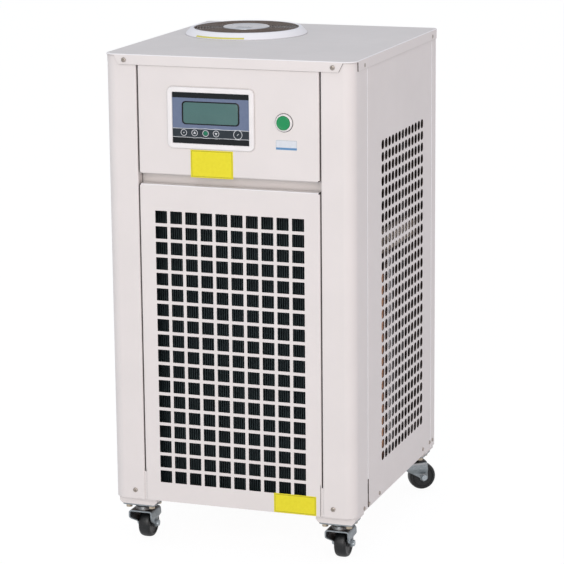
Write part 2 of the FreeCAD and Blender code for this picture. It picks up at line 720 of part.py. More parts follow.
# Fan
def fan_ring():
    """Raised ring with a sloped flank round the fan's mouth."""
    profile = [(RING_BORE, 0), (RING_RADIUS, 0), (RING_RADIUS, SHEET), (RING_SHOULDER, RING_HEIGHT),
               (RING_BORE, RING_HEIGHT)]
    return turned(profile, V(FAN_X, FAN_Y, HEIGHT), Z_AXIS)


def fan_duct():
    """Fan housing under the lid, with struts that carry the motor."""
    inner = DUCT_RADIUS - DUCT_WALL
    profile = [(inner, 0), (DUCT_RADIUS + DUCT_FLANGE, 0), (DUCT_RADIUS + DUCT_FLANGE, -DUCT_WALL),
               (DUCT_RADIUS, -DUCT_WALL), (DUCT_RADIUS, -DUCT_DEPTH), (inner, -DUCT_DEPTH)]
    wall = turned(profile, V(FAN_X, FAN_Y, LID_UNDER), Z_AXIS)
    reach = inner + DUCT_WALL / 2
    floor = LID_UNDER - DUCT_DEPTH
    struts = []
    for k in range(STRUT_COUNT):
        y_range = (-STRUT_WIDTH / 2, STRUT_WIDTH / 2)
        strut = box((MOTOR_RADIUS - DUCT_WALL, reach), y_range, (floor, floor + STRUT_HEIGHT))
        strut.rotate(V(0, 0, 0), Z_AXIS, (k + 0.5) * 360 / STRUT_COUNT)
        struts.append(strut.translated(V(FAN_X, FAN_Y, 0)))
    seat = turned([(SHAFT_RADIUS + DUCT_WALL, 0), (MOTOR_RADIUS, 0), (MOTOR_RADIUS, STRUT_HEIGHT),
                   (SHAFT_RADIUS + DUCT_WALL, STRUT_HEIGHT)], V(FAN_X, FAN_Y, floor), Z_AXIS)
    return fuse([wall, seat] + struts)


def fan_motor():
    """Motor on the struts with its shaft pointing up."""
    base = LID_UNDER - DUCT_DEPTH + STRUT_HEIGHT
    can = cylinder(MOTOR_RADIUS, V(FAN_X, FAN_Y, base), Z_AXIS, MOTOR_HEIGHT)
    shaft = cylinder(SHAFT_RADIUS, V(FAN_X, FAN_Y, base + MOTOR_HEIGHT), Z_AXIS, HUB_LIFT + HUB_HEIGHT / 2)
    return fuse([can, shaft])


def fan_rotor():
    """Hub with twisted blades, lofted from a steep root to a flatter tip."""
    base = LID_UNDER - DUCT_DEPTH + STRUT_HEIGHT + MOTOR_HEIGHT + HUB_LIFT
    hub = cylinder(HUB_RADIUS, V(0, 0, 0), Z_AXIS, HUB_HEIGHT)
    pieces = [hub]
    root = blade_section(HUB_RADIUS - BLADE_THICKNESS, BLADE_CHORD_ROOT, BLADE_PITCH_ROOT)
    tip = blade_section(ROTOR_RADIUS, BLADE_CHORD_TIP, BLADE_PITCH_TIP)
    for k in range(BLADE_COUNT):
        blade = Part.makeLoft([root, tip], True, True)
        blade.rotate(V(0, 0, 0), Z_AXIS, k * 360 / BLADE_COUNT)
        pieces.append(blade)
    bore = cylinder(SHAFT_RADIUS + SHAFT_FIT, V(0, 0, 0), Z_AXIS, HUB_HEIGHT / 2 + HUB_LIFT)
    return fuse(pieces).cut(bore).translated(V(FAN_X, FAN_Y, base))


def blade_section(radius, chord, pitch):
    """Closed section of a blade in the plane at a radius, tilted by its pitch."""
    tilt = math.radians(pitch)
    along = V(0, math.cos(tilt), math.sin(tilt)) * (chord / 2)
    across = V(0, -math.sin(tilt), math.cos(tilt)) * (BLADE_THICKNESS / 2)
    middle = V(radius, 0, HUB_HEIGHT / 2)
    corners = [middle + along + across, middle - along + across, middle - along - across,
               middle + along - across]
    return Part.makePolygon(corners + corners[:1])


def flat_ring(inner, outer, low, top):
    """Ring of rectangular section round the vertical axis."""
    return turned([(inner, low), (outer, low), (outer, top), (inner, top)], V(0, 0, 0), Z_AXIS)


def fan_guard():
    """Wire guard: flat rings on crossing spokes, level with the ring's top."""
    top = RING_HEIGHT
    low = top - GUARD_WIRE
    inner = GUARD_DISC_RADIUS + GUARD_WIRE
    step = (GUARD_RADIUS - inner) / (GUARD_RINGS - 1)
    pieces = []
    for k in range(GUARD_RINGS):
        outer = inner + k * step
        pieces.append(flat_ring(outer - GUARD_WIRE, outer, low, top))
    half = GUARD_WIRE / 2
    for k in range(GUARD_SPOKES):
        spoke = box((GUARD_DISC_RADIUS, GUARD_RADIUS - half), (-half, half), (low, top))
        spoke.rotate(V(0, 0, 0), Z_AXIS, k * 360 / GUARD_SPOKES)
        pieces.append(spoke)
    pieces.append(flat_ring(GUARD_RADIUS - GUARD_WIRE, RING_BORE, low, top))
    return fuse(pieces).translated(V(FAN_X, FAN_Y, HEIGHT))


def guard_disc():
    """Plain centre disc of the guard."""
    start = V(FAN_X, FAN_Y, HEIGHT + RING_HEIGHT - GUARD_WIRE)
    return cylinder(GUARD_DISC_RADIUS, start, Z_AXIS, GUARD_WIRE + GUARD_DISC_HEIGHT)


# Controller and button
def around_controller(half_x, half_z, y_range, radius, rise=0.0):
    """Rounded block centred on the controller."""
    z = CONTROLLER_Z + rise
    x_range = (CONTROLLER_X - half_x, CONTROLLER_X + half_x)
    return rounded_box(x_range, (z - half_z, z + half_z), y_range, radius)


def controller_bezel():
    """White frame on the panel round the controller's face."""
    face = SKIN - BEZEL_PROUD
    half_x, half_z = BEZEL_WIDTH / 2, BEZEL_HEIGHT / 2
    frame = around_controller(half_x, half_z, (face, SKIN), BEZEL_RADIUS)
    window = around_controller(half_x - BEZEL_RIM, half_z - BEZEL_RIM, (face, SKIN), OVERLAY_RADIUS)
    return frame.cut(window)


def controller_face():
    """Face with its membrane film, a little below the frame's edge."""
    half_x = BEZEL_WIDTH / 2 - BEZEL_RIM - MODULE_GAP
    half_z = BEZEL_HEIGHT / 2 - BEZEL_RIM - MODULE_GAP
    return around_controller(half_x, half_z, (SKIN - OVERLAY_THICKNESS, SKIN), OVERLAY_RADIUS - MODULE_GAP)


def lcd_window():
    """Display window on the upper part of the face."""
    back = SKIN - OVERLAY_THICKNESS
    y_range = (back - LCD_THICKNESS, back)
    return around_controller(LCD_WIDTH / 2, LCD_HEIGHT / 2, y_range, OVERLAY_RADIUS, LCD_RISE)


def controller_module():
    """Housing of the controller behind the panel."""
    half_x = BEZEL_WIDTH / 2 - BEZEL_RIM - MODULE_WALL
    half_z = BEZEL_HEIGHT / 2 - BEZEL_RIM - MODULE_WALL
    return box((CONTROLLER_X - half_x, CONTROLLER_X + half_x), (SKIN, SKIN + MODULE_DEPTH),
               (CONTROLLER_Z - half_z, CONTROLLER_Z + half_z))


def button_bezel():
    """Round collar of the push button, with its barrel through the panel."""
    stem_bore = BUTTON_STEM_RADIUS + BUTTON_FIT
    cap_bore = BUTTON_CAP_RADIUS + BUTTON_FIT
    front = BUTTON_BARREL + BUTTON_BEZEL_PROUD
    profile = [(stem_bore, 0), (BUTTON_BARREL_RADIUS, 0), (BUTTON_BARREL_RADIUS, BUTTON_BARREL),
               (BUTTON_BEZEL_RADIUS, BUTTON_BARREL), (BUTTON_BEZEL_RADIUS - BUTTON_EDGE, front),
               (cap_bore, front), (cap_bore, BUTTON_BARREL), (stem_bore, BUTTON_BARREL)]
    return turned(profile, V(BUTTON_X, SKIN + BUTTON_BARREL, BUTTON_Z), -Y_AXIS)


def button_cap():
    """Cap of the push button on its stem, both clear of their stops over the travel."""
    head = BUTTON_CAP_PROUD - BUTTON_TRAVEL - BUTTON_FIT
    stem_end = BUTTON_CAP_PROUD + BUTTON_BARREL - BUTTON_TRAVEL - BUTTON_FIT
    profile = [(0, 0), (BUTTON_CAP_RADIUS - BUTTON_EDGE, 0), (BUTTON_CAP_RADIUS, BUTTON_EDGE),
               (BUTTON_CAP_RADIUS, head), (BUTTON_STEM_RADIUS, head), (BUTTON_STEM_RADIUS, stem_end),
               (0, stem_end)]
    return turned(profile, V(BUTTON_X, SKIN - BUTTON_CAP_PROUD, BUTTON_Z), Y_AXIS)


def button_switch():
    """Contact block on the end of the button's barrel."""
    start = SKIN + BUTTON_BARREL
    half = SWITCH_WIDTH / 2
    x_range, z_range = (BUTTON_X - half, BUTTON_X + half), (BUTTON_Z - half, BUTTON_Z + half)
    return box(x_range, (start, start + SWITCH_DEPTH), z_range)


# Condenser
def condenser_core():
    """Block of vertical fins behind the front grille."""
    half = COIL_WIDTH / 2
    return box((-half, half), (COIL_FRONT, COIL_BACK), (TRAY_SHEET, TRAY_SHEET + COIL_HEIGHT))


def condenser_plates():
    """Folded end plates of the fin block."""
    half = COIL_WIDTH / 2
    lip = half + COIL_PLATE_LIP
    path = [V(lip, COIL_FRONT, TRAY_SHEET), V(half, COIL_FRONT, TRAY_SHEET),
            V(half, COIL_BACK, TRAY_SHEET), V(lip, COIL_BACK, TRAY_SHEET)]
    right = folded_sheet(path, Z_AXIS, -COIL_PLATE, V(0, 0, COIL_HEIGHT), [0, 0])
    return Part.makeCompound([right, mirrored(right)])


# Refrigeration and water circuit
def compressor():
    """Upright welded shell with domed ends on its square foot plate."""
    base = TRAY_SHEET + GROMMET_HEIGHT
    top = COMPRESSOR_HEIGHT
    waist = COMPRESSOR_RADIUS
    shoulder = COMPRESSOR_DOME / 3
    profile = [(0, 0), (waist - COMPRESSOR_DOME, 0), (waist, COMPRESSOR_DOME), (waist, top - COMPRESSOR_DOME),
               (waist - shoulder, top - shoulder), (waist - COMPRESSOR_DOME, top), (0, top)]
    shell = turned(profile, V(COMPRESSOR_X, COMPRESSOR_Y, base + FOOT_SHEET), Z_AXIS)
    half = COMPRESSOR_FOOT
    x_range = (COMPRESSOR_X - half, COMPRESSOR_X + half)
    foot = box(x_range, (COMPRESSOR_Y - half, COMPRESSOR_Y + half), (base, base + FOOT_SHEET))
    return fuse([shell, foot])


def plan_corners(x, y, half_x, half_y, z):
    """Corners of a rectangle round a point of the plan, at one level."""
    signs = ((-1, -1), (1, -1), (1, 1), (-1, 1))
    return [V(x + side_x * half_x, y + side_y * half_y, z) for side_x, side_y in signs]


def compressor_grommets():
    """Four rubber grommets between the foot plate and the tray."""
    reach = COMPRESSOR_FOOT - GROMMET_RADIUS
    places = plan_corners(COMPRESSOR_X, COMPRESSOR_Y, reach, reach, TRAY_SHEET)
    return Part.makeCompound([cylinder(GROMMET_RADIUS, place, Z_AXIS, GROMMET_HEIGHT) for place in places])


def water_tank():
    """Insulated tank with rounded upright corners, standing in the tray."""
    corners = plan_corners(TANK_X, TANK_Y, TANK_WIDTH / 2, TANK_DEPTH / 2, TRAY_SHEET)
    return prism(corners, V(0, 0, TANK_HEIGHT), [TANK_RADIUS] * 4)


def tank_lid():
    """Flat lid on the tank."""
    x, y = TANK_WIDTH / 2 + FACE_GAP, TANK_DEPTH / 2 + FACE_GAP
    corners = plan_corners(TANK_X, TANK_Y, x, y, TRAY_SHEET + TANK_HEIGHT)
    return prism(corners, V(0, 0, TANK_LID), [TANK_RADIUS] * 4)


def pump_axis_z():
    """Height of the pump's shaft."""
    return TRAY_SHEET + PUMP_FOOT + PUMP_HEAD_RADIUS


def pump_motor():
    """Pump motor on its foot."""
    z = pump_axis_z()
    can = cylinder(PUMP_RADIUS, V(PUMP_X, PUMP_Y, z), X_AXIS, PUMP_LENGTH)
    half = PUMP_RADIUS / 2
    x_range = (PUMP_X + PUMP_FOOT, PUMP_X + PUMP_LENGTH - PUMP_FOOT)
    foot = box(x_range, (PUMP_Y - half, PUMP_Y + half), (TRAY_SHEET, z - half))
    return fuse([can, foot])


def pump_head():
    """Round pump head with its upward outlet."""
    z = pump_axis_z()
    start = V(PUMP_X - PUMP_HEAD_LENGTH, PUMP_Y, z)
    volute = cylinder(PUMP_HEAD_RADIUS, start, X_AXIS, PUMP_HEAD_LENGTH)
    middle = PUMP_X - PUMP_HEAD_LENGTH / 2
    outlet = cylinder(PORT_RADIUS, V(middle, PUMP_Y, z), Z_AXIS, PUMP_HEAD_RADIUS + PUMP_FOOT)
    return fuse([volute, outlet])


def filter_drier():
    """Copper filter drier, necked at both ends, upright behind the condenser."""
    top = TRAY_SHEET + DRIER_NECK * 2 + DRIER_LENGTH
    cone = DRIER_NECK / 2
    profile = [(0, 0), (LIQUID_RADIUS, 0), (LIQUID_RADIUS, DRIER_NECK), (DRIER_RADIUS, DRIER_NECK + cone),
               (DRIER_RADIUS, DRIER_LENGTH), (LIQUID_RADIUS, DRIER_LENGTH + cone), (LIQUID_RADIUS, top),
               (0, top)]
    return turned(profile, V(DRIER_X, DRIER_Y, TRAY_SHEET), Z_AXIS)


def suction_pipe():
    """Copper suction line: up the right side and over to the compressor's top."""
    top = TRAY_SHEET + GROMMET_HEIGHT + FOOT_SHEET + COMPRESSOR_HEIGHT
    high = SLEEVE_Z - SLEEVE_RADIUS - SUCTION_RADIUS
    points = [V(SUCTION_X, SUCTION_Y, TRAY_SHEET), V(SUCTION_X, SUCTION_Y, high),
              V(COMPRESSOR_X, COMPRESSOR_Y, high), V(COMPRESSOR_X, COMPRESSOR_Y, top)]
    return tube(points, SUCTION_BEND, SUCTION_RADIUS)


def liquid_pipe():
    """Copper liquid line from the condenser's foot to the filter drier."""
    low = TRAY_SHEET * 2 + DRIER_NECK * 2 + DRIER_LENGTH
    high = low + LIQUID_RADIUS + 2 * LIQUID_BEND
    points = [V(DRIER_X, COIL_BACK, high), V(DRIER_X, DRIER_Y, high), V(DRIER_X, DRIER_Y, low)]
    return tube(points, LIQUID_BEND, LIQUID_RADIUS)


def insulated_pipe():
    """Foam-sleeved water pipe that runs to the rear over the post."""
    x = SKIN_HALF - PANEL_RETURN - FACE_GAP - SLEEVE_RADIUS
    length = SKIN_REAR - COLUMN_RETURN - FACE_GAP - POST_Y
    return cylinder(SLEEVE_RADIUS, V(x, POST_Y, SLEEVE_Z + SLEEVE_RADIUS), Y_AXIS, length)


def frame_post():
    """Galvanised post on the tray behind the slots, which carries the sleeved pipe."""
    height = SLEEVE_Z - FACE_GAP - TRAY_SHEET
    path = [V(POST_X, POST_Y, TRAY_SHEET), V(POST_X, POST_Y + POST_WIDTH, TRAY_SHEET),
            V(POST_X - POST_WIDTH / 2, POST_Y + POST_WIDTH, TRAY_SHEET)]
    return folded_sheet(path, Z_AXIS, SHEET, V(0, 0, height), [0])


def electrics_box():
    """Closed box of the electrics on its shelf."""
    front = SKIN + RAIL_SETBACK + RAIL_FLANGE + (SHELF_DEPTH - ELECTRICS_DEPTH) / 2
    low = GRILLE_PANEL_TOP - RAIL_LOW + SHEET
    half = ELECTRICS_WIDTH / 2
    return box((-half, half), (front, front + ELECTRICS_DEPTH), (low, low + ELECTRICS_HEIGHT))


# Connections on the rear
def water_port(z):
    """Threaded water port with a hexagon against the panel."""
    start = V(PORT_X, SKIN_REAR, z)
    flange = hexagon(PORT_HEX, start, Y_AXIS, PORT_HEX_LENGTH)
    stub = cylinder(PORT_RADIUS, start + Y_AXIS * PORT_HEX_LENGTH, Y_AXIS, PORT_LENGTH - PORT_HEX_LENGTH)
    shank = cylinder(PORT_SHANK_RADIUS, start - Y_AXIS * PORT_LENGTH, Y_AXIS, PORT_LENGTH)
    bore = cylinder(PORT_BORE, start - Y_AXIS * PORT_LENGTH, Y_AXIS, 2 * PORT_LENGTH)
    return fuse([flange, stub, shank]).cut(bore)


def drain_plug():
    """Drain socket low on the rear with its hexagon plug."""
    start = V(DRAIN_X, SKIN_REAR, DRAIN_Z)
    plug = cylinder(DRAIN_RADIUS + SHEET, start, Y_AXIS, DRAIN_LENGTH / 2)
    head = hexagon(DRAIN_HEX, start + Y_AXIS * DRAIN_LENGTH / 2, Y_AXIS, DRAIN_LENGTH / 2)
    shank = cylinder(DRAIN_RADIUS, start - Y_AXIS * SHEET, Y_AXIS, SHEET)
    return fuse([plug, head, shank])


def filler_neck():
    """Flanged neck of the water filler."""
    bore = FILLER_NECK_RADIUS - FILLER_NECK_WALL
    inward = SHEET + PANEL_RETURN
    mouth = FILLER_FLANGE + FILLER_NECK_LENGTH - CAP_WALL
    profile = [(bore, -inward), (FILLER_NECK_RADIUS, -inward), (FILLER_NECK_RADIUS, 0),
               (FILLER_FLANGE_RADIUS, 0), (FILLER_FLANGE_RADIUS, FILLER_FLANGE),
               (FILLER_NECK_RADIUS, FILLER_FLANGE), (FILLER_NECK_RADIUS, mouth), (bore, mouth)]
    return turned(profile, V(FILLER_X, SKIN_REAR, FILLER_Z), Y_AXIS)


def filler_cap():
    """Ribbed cap that turns on the filler's neck."""
    bore = FILLER_NECK_RADIUS + CAP_FIT
    start = V(0, 0, 0)
    ceiling = CAP_LENGTH - CAP_WALL
    profile = [(0, CAP_LENGTH), (CAP_RADIUS, CAP_LENGTH), (CAP_RADIUS, 0), (bore, 0), (bore, ceiling),
               (0, ceiling)]
    cap = turned(profile, start, Z_AXIS)
    ribs = []
    for k in range(CAP_RIBS):
        rib = box((CAP_RADIUS - SHEET, CAP_RADIUS + SHEET), (-SHEET, SHEET), (0, CAP_LENGTH - SHEET))
        rib.rotate(start, Z_AXIS, k * 360 / CAP_RIBS)
        ribs.append(rib)
    cap = fuse([cap] + ribs)
    seat = V(FILLER_X, SKIN_REAR + FILLER_FLANGE, FILLER_Z)
    cap.Placement = FreeCAD.Placement(seat, FreeCAD.Rotation(Z_AXIS, Y_AXIS))
    return cap


def level_gauge():
    """Long frame of the water level gauge."""
    half_x, half_z = GAUGE_WIDTH / 2, GAUGE_LENGTH / 2
    frame = rounded_box((GAUGE_X - half_x, GAUGE_X + half_x), (GAUGE_Z - half_z, GAUGE_Z + half_z),
                        (SKIN_REAR, SKIN_REAR + GAUGE_DEPTH), GAUGE_SLOT / 2)
    half, reach = GAUGE_SLOT / 2, half_z - GAUGE_SLOT
    y_range = (SKIN_REAR + GAUGE_DEPTH / 2, SKIN_REAR + GAUGE_DEPTH)
    slot = box((GAUGE_X - half, GAUGE_X + half), y_range, (GAUGE_Z - reach, GAUGE_Z + reach))
    return frame.cut(slot)


def gauge_window():
    """Clear strip in the gauge's frame."""
    half = GAUGE_SLOT / 2 - MODULE_GAP
    reach = GAUGE_LENGTH / 2 - GAUGE_SLOT - MODULE_GAP
    y_range = (SKIN_REAR + GAUGE_DEPTH / 2, SKIN_REAR + GAUGE_DEPTH - SHEET)
    return box((GAUGE_X - half, GAUGE_X + half), y_range, (GAUGE_Z - reach, GAUGE_Z + reach))


def cable_gland():
    """Gland of the supply lead with its open bore."""
    start = V(GLAND_X, SKIN_REAR, GLAND_Z)
    collar = hexagon(GLAND_HEX, start, Y_AXIS, GLAND_HEX_LENGTH)
    inward = Y_AXIS * GLAND_HEX_LENGTH
    dome = Part.makeCone(GLAND_DOME_RADIUS, GLAND_BORE + SHEET, GLAND_DOME_LENGTH, start + inward, Y_AXIS)
    shank = cylinder(GLAND_DOME_RADIUS, start - inward, Y_AXIS, GLAND_HEX_LENGTH)
    bore = cylinder(GLAND_BORE, start - inward, Y_AXIS, 2 * GLAND_HEX_LENGTH + GLAND_DOME_LENGTH)
    return fuse([collar, dome, shank]).cut(bore)


def nodes():
    """Every piece by its name, in cabinet coordinates."""
    front, rear, side = front_column(), rear_column(), side_panel()
    pieces = {
        "base_tray": base_tray(),
        "front_column_right": front,
        "front_column_left": mirrored(front),
        "rear_column_right": rear,
        "rear_column_left": mirrored(rear),
        "cross_rail": cross_rail(),
        "electrics_shelf": electrics_shelf(),
        "lid": lid(),
        "control_panel": control_panel(),
        "front_grille_panel": grille_panel(),
        "side_panel_right": slotted(side),
        "side_panel_left": mirrored(side),
        "rear_panel": rear_panel(),
        "caster_pads": caster_pads(),
        "caster_plates": caster_plates(),
        "caster_bolts": caster_bolts(),
        "fan_ring": fan_ring(),
        "fan_duct": fan_duct(),
        "fan_motor": fan_motor(),
        "fan_rotor": fan_rotor(),
        "fan_guard": fan_guard(),
        "guard_disc": guard_disc(),
        "controller_bezel": controller_bezel(),
        "controller_face": controller_face(),
        "lcd_window": lcd_window(),
        "controller_module": controller_module(),
        "button_bezel": button_bezel(),
        "button_cap": button_cap(),
        "button_switch": button_switch(),
        "condenser_core": condenser_core(),
        "condenser_plates": condenser_plates(),
        "compressor": compressor(),
        "compressor_grommets": compressor_grommets(),
        "water_tank": water_tank(),
        "tank_lid": tank_lid(),
        "pump_motor": pump_motor(),
        "pump_head": pump_head(),
        "filter_drier": filter_drier(),
        "suction_pipe": suction_pipe(),
        "liquid_pipe": liquid_pipe(),
        "insulated_pipe": insulated_pipe(),
        "frame_post": frame_post(),
        "electrics_box": electrics_box(),
        "water_outlet": water_port(OUTLET_Z),
        "water_inlet": water_port(INLET_Z),
        "drain_plug": drain_plug(),
        "filler_neck": filler_neck(),
        "filler_cap": filler_cap(),
        "level_gauge": level_gauge(),
        "gauge_window": gauge_window(),
        "cable_gland": cable_gland(),
    }
    fork = Part.makeCompound([caster_fork(), caster_axle()])
    wheel = caster_wheel()
    for corner in SWIVEL_ANGLES:
        pieces["fork_" + corner] = placed_caster(fork, corner)
        pieces["wheel_" + corner] = placed_caster(wheel, corner)
    return pieces


def main():
    """Write one file for each piece, moved to the origin on the floor."""
    os.makedirs("parts", exist_ok=True)
    for name, shape in nodes().items():
        moved = shape.translated(TO_ORIGIN)
        if not moved.isValid() or moved.Volume <= 0:
            print("check", name, moved.isValid(), moved.Volume)
        moved.exportStep("parts/" + name + ".step")


main()
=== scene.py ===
"""Looks of a free-standing laser chiller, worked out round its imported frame.

Lengths are in millimetres in cabinet coordinates: x across, y from the front face to
the rear, z up from the cabinet's bottom edge. Draft turns them into the frame's
metres once, when a mesh is made.
"""
import json
import logging
import math
from dataclasses import dataclass
from enum import Enum

import bmesh
import bpy
import numpy as np
from mathutils import Matrix, Vector

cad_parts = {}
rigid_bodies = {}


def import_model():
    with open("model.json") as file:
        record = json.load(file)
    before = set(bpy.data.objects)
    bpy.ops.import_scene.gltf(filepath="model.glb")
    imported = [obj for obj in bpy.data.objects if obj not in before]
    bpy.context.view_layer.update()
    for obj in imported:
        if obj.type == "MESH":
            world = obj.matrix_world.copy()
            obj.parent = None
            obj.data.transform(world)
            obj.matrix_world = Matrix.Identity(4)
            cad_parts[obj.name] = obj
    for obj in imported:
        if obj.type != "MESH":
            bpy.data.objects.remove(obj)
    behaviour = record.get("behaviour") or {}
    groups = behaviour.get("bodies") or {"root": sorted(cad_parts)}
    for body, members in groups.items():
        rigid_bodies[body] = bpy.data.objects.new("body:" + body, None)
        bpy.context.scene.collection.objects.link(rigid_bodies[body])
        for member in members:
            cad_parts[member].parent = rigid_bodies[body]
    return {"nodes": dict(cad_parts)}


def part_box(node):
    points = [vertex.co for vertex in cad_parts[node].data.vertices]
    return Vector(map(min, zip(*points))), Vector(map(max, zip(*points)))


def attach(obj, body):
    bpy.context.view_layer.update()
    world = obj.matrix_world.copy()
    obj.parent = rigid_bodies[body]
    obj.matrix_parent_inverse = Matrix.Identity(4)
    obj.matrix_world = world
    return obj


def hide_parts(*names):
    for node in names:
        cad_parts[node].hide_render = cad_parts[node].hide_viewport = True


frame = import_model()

Pair = tuple[float, float]
Triple = tuple[float, float, float]
Tree = bpy.types.NodeTree
Socket = bpy.types.NodeSocket
LOG = logging.getLogger("chiller")
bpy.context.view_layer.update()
MM = 0.001
WELD = 0.000002

# Cabinet: its depth and height, its sheet, and the outer bend radius
DEPTH = 484.0
HEIGHT = 768.0
SHEET = 1.5
FOLD = 2.5
# Outer faces of the panels: the front ones, the side ones from the middle, and the rear one
SKIN = 1.8
SKIN_HALF = 218.2
SKIN_REAR = 482.2
# Where the panels end: under the lid, at their own top, at their half width, and over the tray
LID_UNDER = 766.5
PANEL_TOP = 763.5
PANEL_HALF = 158.5
TRAY_TOP = 50.3
# Distance of the support lines that keep a flat's shading even beside a bend
SUPPORT = 1.0

LID_LOW, LID_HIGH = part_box("lid")
ORIGIN = np.array([(LID_LOW.x + LID_HIGH.x) / 2, LID_LOW.y, LID_HIGH.z - HEIGHT * MM])


class Face(Enum):
    """Side of the cabinet: the directions of a developed sheet's u and v and its outward normal."""

    FRONT = ((1, 0, 0), (0, 0, 1), (0, -1, 0))
    REAR = ((-1, 0, 0), (0, 0, 1), (0, 1, 0))
    RIGHT = ((0, 1, 0), (0, 0, 1), (1, 0, 0))
    LEFT = ((0, -1, 0), (0, 0, 1), (-1, 0, 0))
    TOP = ((1, 0, 0), (0, 1, 0), (0, 0, 1))
    UNDER = ((1, 0, 0), (0, -1, 0), (0, 0, -1))


@dataclass(frozen=True)
class Seat:
    """Place of a piece on the cabinet: an origin and the face whose directions it uses."""

    origin: Triple
    face: Face

    def place(self, u: np.ndarray, v: np.ndarray, h: np.ndarray) -> np.ndarray:
        """Points of the cabinet for distances along the face and out of it.

        Point = origin + u times the first direction + v times the second + h times the normal.

        Args:
            u: Distance along the face's first direction.
            v: Distance along its second direction.
            h: Height over the face.

        Returns:
            Array of points, one for each set of distances.
        """
        local = np.stack(np.broadcast_arrays(u, v, h), axis=-1).astype(float)
        return local @ np.array(self.face.value, float) + np.array(self.origin, float)

    def rings(self, rows: list[tuple[float, float, float, float]], steps: int) -> np.ndarray:
        """Rounded rectangles over the seat, each at its own height.

        Args:
            rows: Half width, half height, corner radius and height of each ring.
            steps: Intervals in one corner.

        Returns:
            Points, shape (rings, points of a ring, 3).
        """
        outline = np.stack([rounded_rectangle(u, v, radius, steps) for u, v, radius, _ in rows])
        return self.place(outline[..., 0], outline[..., 1], np.array([row[3] for row in rows])[:, None])


# Outlines and paths
def rounded_rectangle(half_u: float, half_v: float, radius: float, steps: int = 6) -> np.ndarray:
    """Outline of a rectangle with round corners, counter-clockwise.

    Each corner is its centre plus the radius times (cos a, sin a) over a quarter turn.

    Args:
        half_u: Half of the width.
        half_v: Half of the height.
        radius: Corner radius.
        steps: Intervals in one corner.

    Returns:
        Array of 4 (steps + 1) points.
    """
    angle = np.linspace(0, np.pi / 2, steps + 1) + np.arange(4)[:, None] * np.pi / 2
    centre = np.array([[1, 1], [-1, 1], [-1, -1], [1, -1]]) * [half_u - radius, half_v - radius]
    ring = np.stack([np.cos(angle), np.sin(angle)], axis=-1) * radius
    return (centre[:, None, :] + ring).reshape(-1, 2)


def polar(radius: np.ndarray, angle: np.ndarray) -> tuple[np.ndarray, np.ndarray]:
    """Plane coordinates (r cos a, r sin a) of a radius at an angle."""
    return radius * np.cos(angle), radius * np.sin(angle)


def round_angles(count: int) -> np.ndarray:
    """Angles of a full turn without its last point."""
    return np.arange(count) * 2 * np.pi / count


def hexagon_radius(angle: np.ndarray, across: float, limit: float) -> np.ndarray:
    """Radius of a hexagon with its corners turned off.

    It is the smaller of the limit and half the width over flats divided by the cosine
    of the angle from the middle of the nearest flat.

    Args:
        angle: Angles round the axis.
        across: Width over flats.
        limit: Radius to which the corners are turned.

    Returns:
        Radius for each angle.
    """
    from_flat = np.mod(angle, np.pi / 3) - np.pi / 6
    return np.minimum(limit, across / 2 / np.cos(from_flat))


def rounded_path(corners: list[Pair], radii: list[float], steps: int = 5,
                 margin: float = 0.0) -> np.ndarray:
    """Open path with an arc at each inner corner.

    An arc is its centre plus the two tangent points' arms, blended by the sine rule
    (sin((1 - t) w) start + sin(t w) end) / sin w over the turn w.

    Args:
        corners: Corners of the path, its ends included.
        radii: Radius at each inner corner, or 0 for a sharp one.
        steps: Intervals in one arc.
        margin: Distance to extra points on the flats beside an arc, which keep their shading even.

    Returns:
        Array of points.
    """
    points = np.array(corners, float)
    rows = [points[:1]]
    blend = np.linspace(0, 1, steps + 1)[:, None]
    for before, corner, after, radius in zip(points, points[1:], points[2:], radii):
        back = (before - corner) / np.linalg.norm(before - corner)
        ahead = (after - corner) / np.linalg.norm(after - corner)
        half = math.acos(np.clip(back @ ahead, -1, 1)) / 2
        if radius <= 0:
            rows.append(corner[None])
            continue
        reach = radius / math.tan(half)
        middle = (back + ahead) / np.linalg.norm(back + ahead)
        centre = corner + middle * radius / math.sin(half)
        start, end = corner + back * reach - centre, corner + ahead * reach - centre
        turn = math.pi - 2 * half
        arc = (np.sin((1 - blend) * turn) * start + np.sin(blend * turn) * end) / math.sin(turn)
        flats = [corner + back * (reach + margin), corner + ahead * (reach + margin)]
        rows += [flats[0][None], centre + arc, flats[1][None]] if margin else [centre + arc]
    rows.append(points[-1:])
    return np.concatenate(rows)


def folded(distance: np.ndarray, low: float, high: float, radius: float) -> tuple[np.ndarray, np.ndarray]:
    """Position and depth of points on a developed sheet whose ends are folded back.

    Beyond a flat's end by e the sheet turns about the bend radius r: it moves on by
    r sin(e / r) and goes back by r (1 - cos(e / r)). Past a quarter turn only the
    depth grows.

    Args:
        distance: Developed coordinate.
        low: Start of the flat.
        high: End of the flat.
        radius: Outer bend radius.

    Returns:
        Position along the face and depth behind it.
    """
    over = np.maximum(distance - high, 0) + np.maximum(low - distance, 0)
    side = np.where(distance > high, 1.0, -1.0)
    quarter = radius * np.pi / 2
    turn = np.minimum(over, quarter) / radius
    position = np.clip(distance, low, high) + side * radius * np.sin(turn)
    return position, radius * (1 - np.cos(turn)) + np.maximum(over - quarter, 0)


def fold_lines(edge: float, flap: float, radius: float, steps: int = 4) -> np.ndarray:
    """Developed coordinates of one folded edge, from a support line on the flat to the flap's end.

    The flat ends one radius short of the edge, and the bend takes up a quarter of its circle.

    Args:
        edge: Place of the folded edge.
        flap: Depth of the flap, or 0 for a plain edge.
        radius: Outer bend radius.
        steps: Intervals in the bend.

    Returns:
        Coordinates in rising order.
    """
    if flap <= 0:
        return np.array([edge])
    flat = edge - radius
    quarter = radius * np.pi / 2
    bend = flat + quarter * np.linspace(0, 1, steps + 1)
    past = flat + quarter
    return np.concatenate([[flat - SUPPORT], bend, [past + SUPPORT, past + flap - radius]])


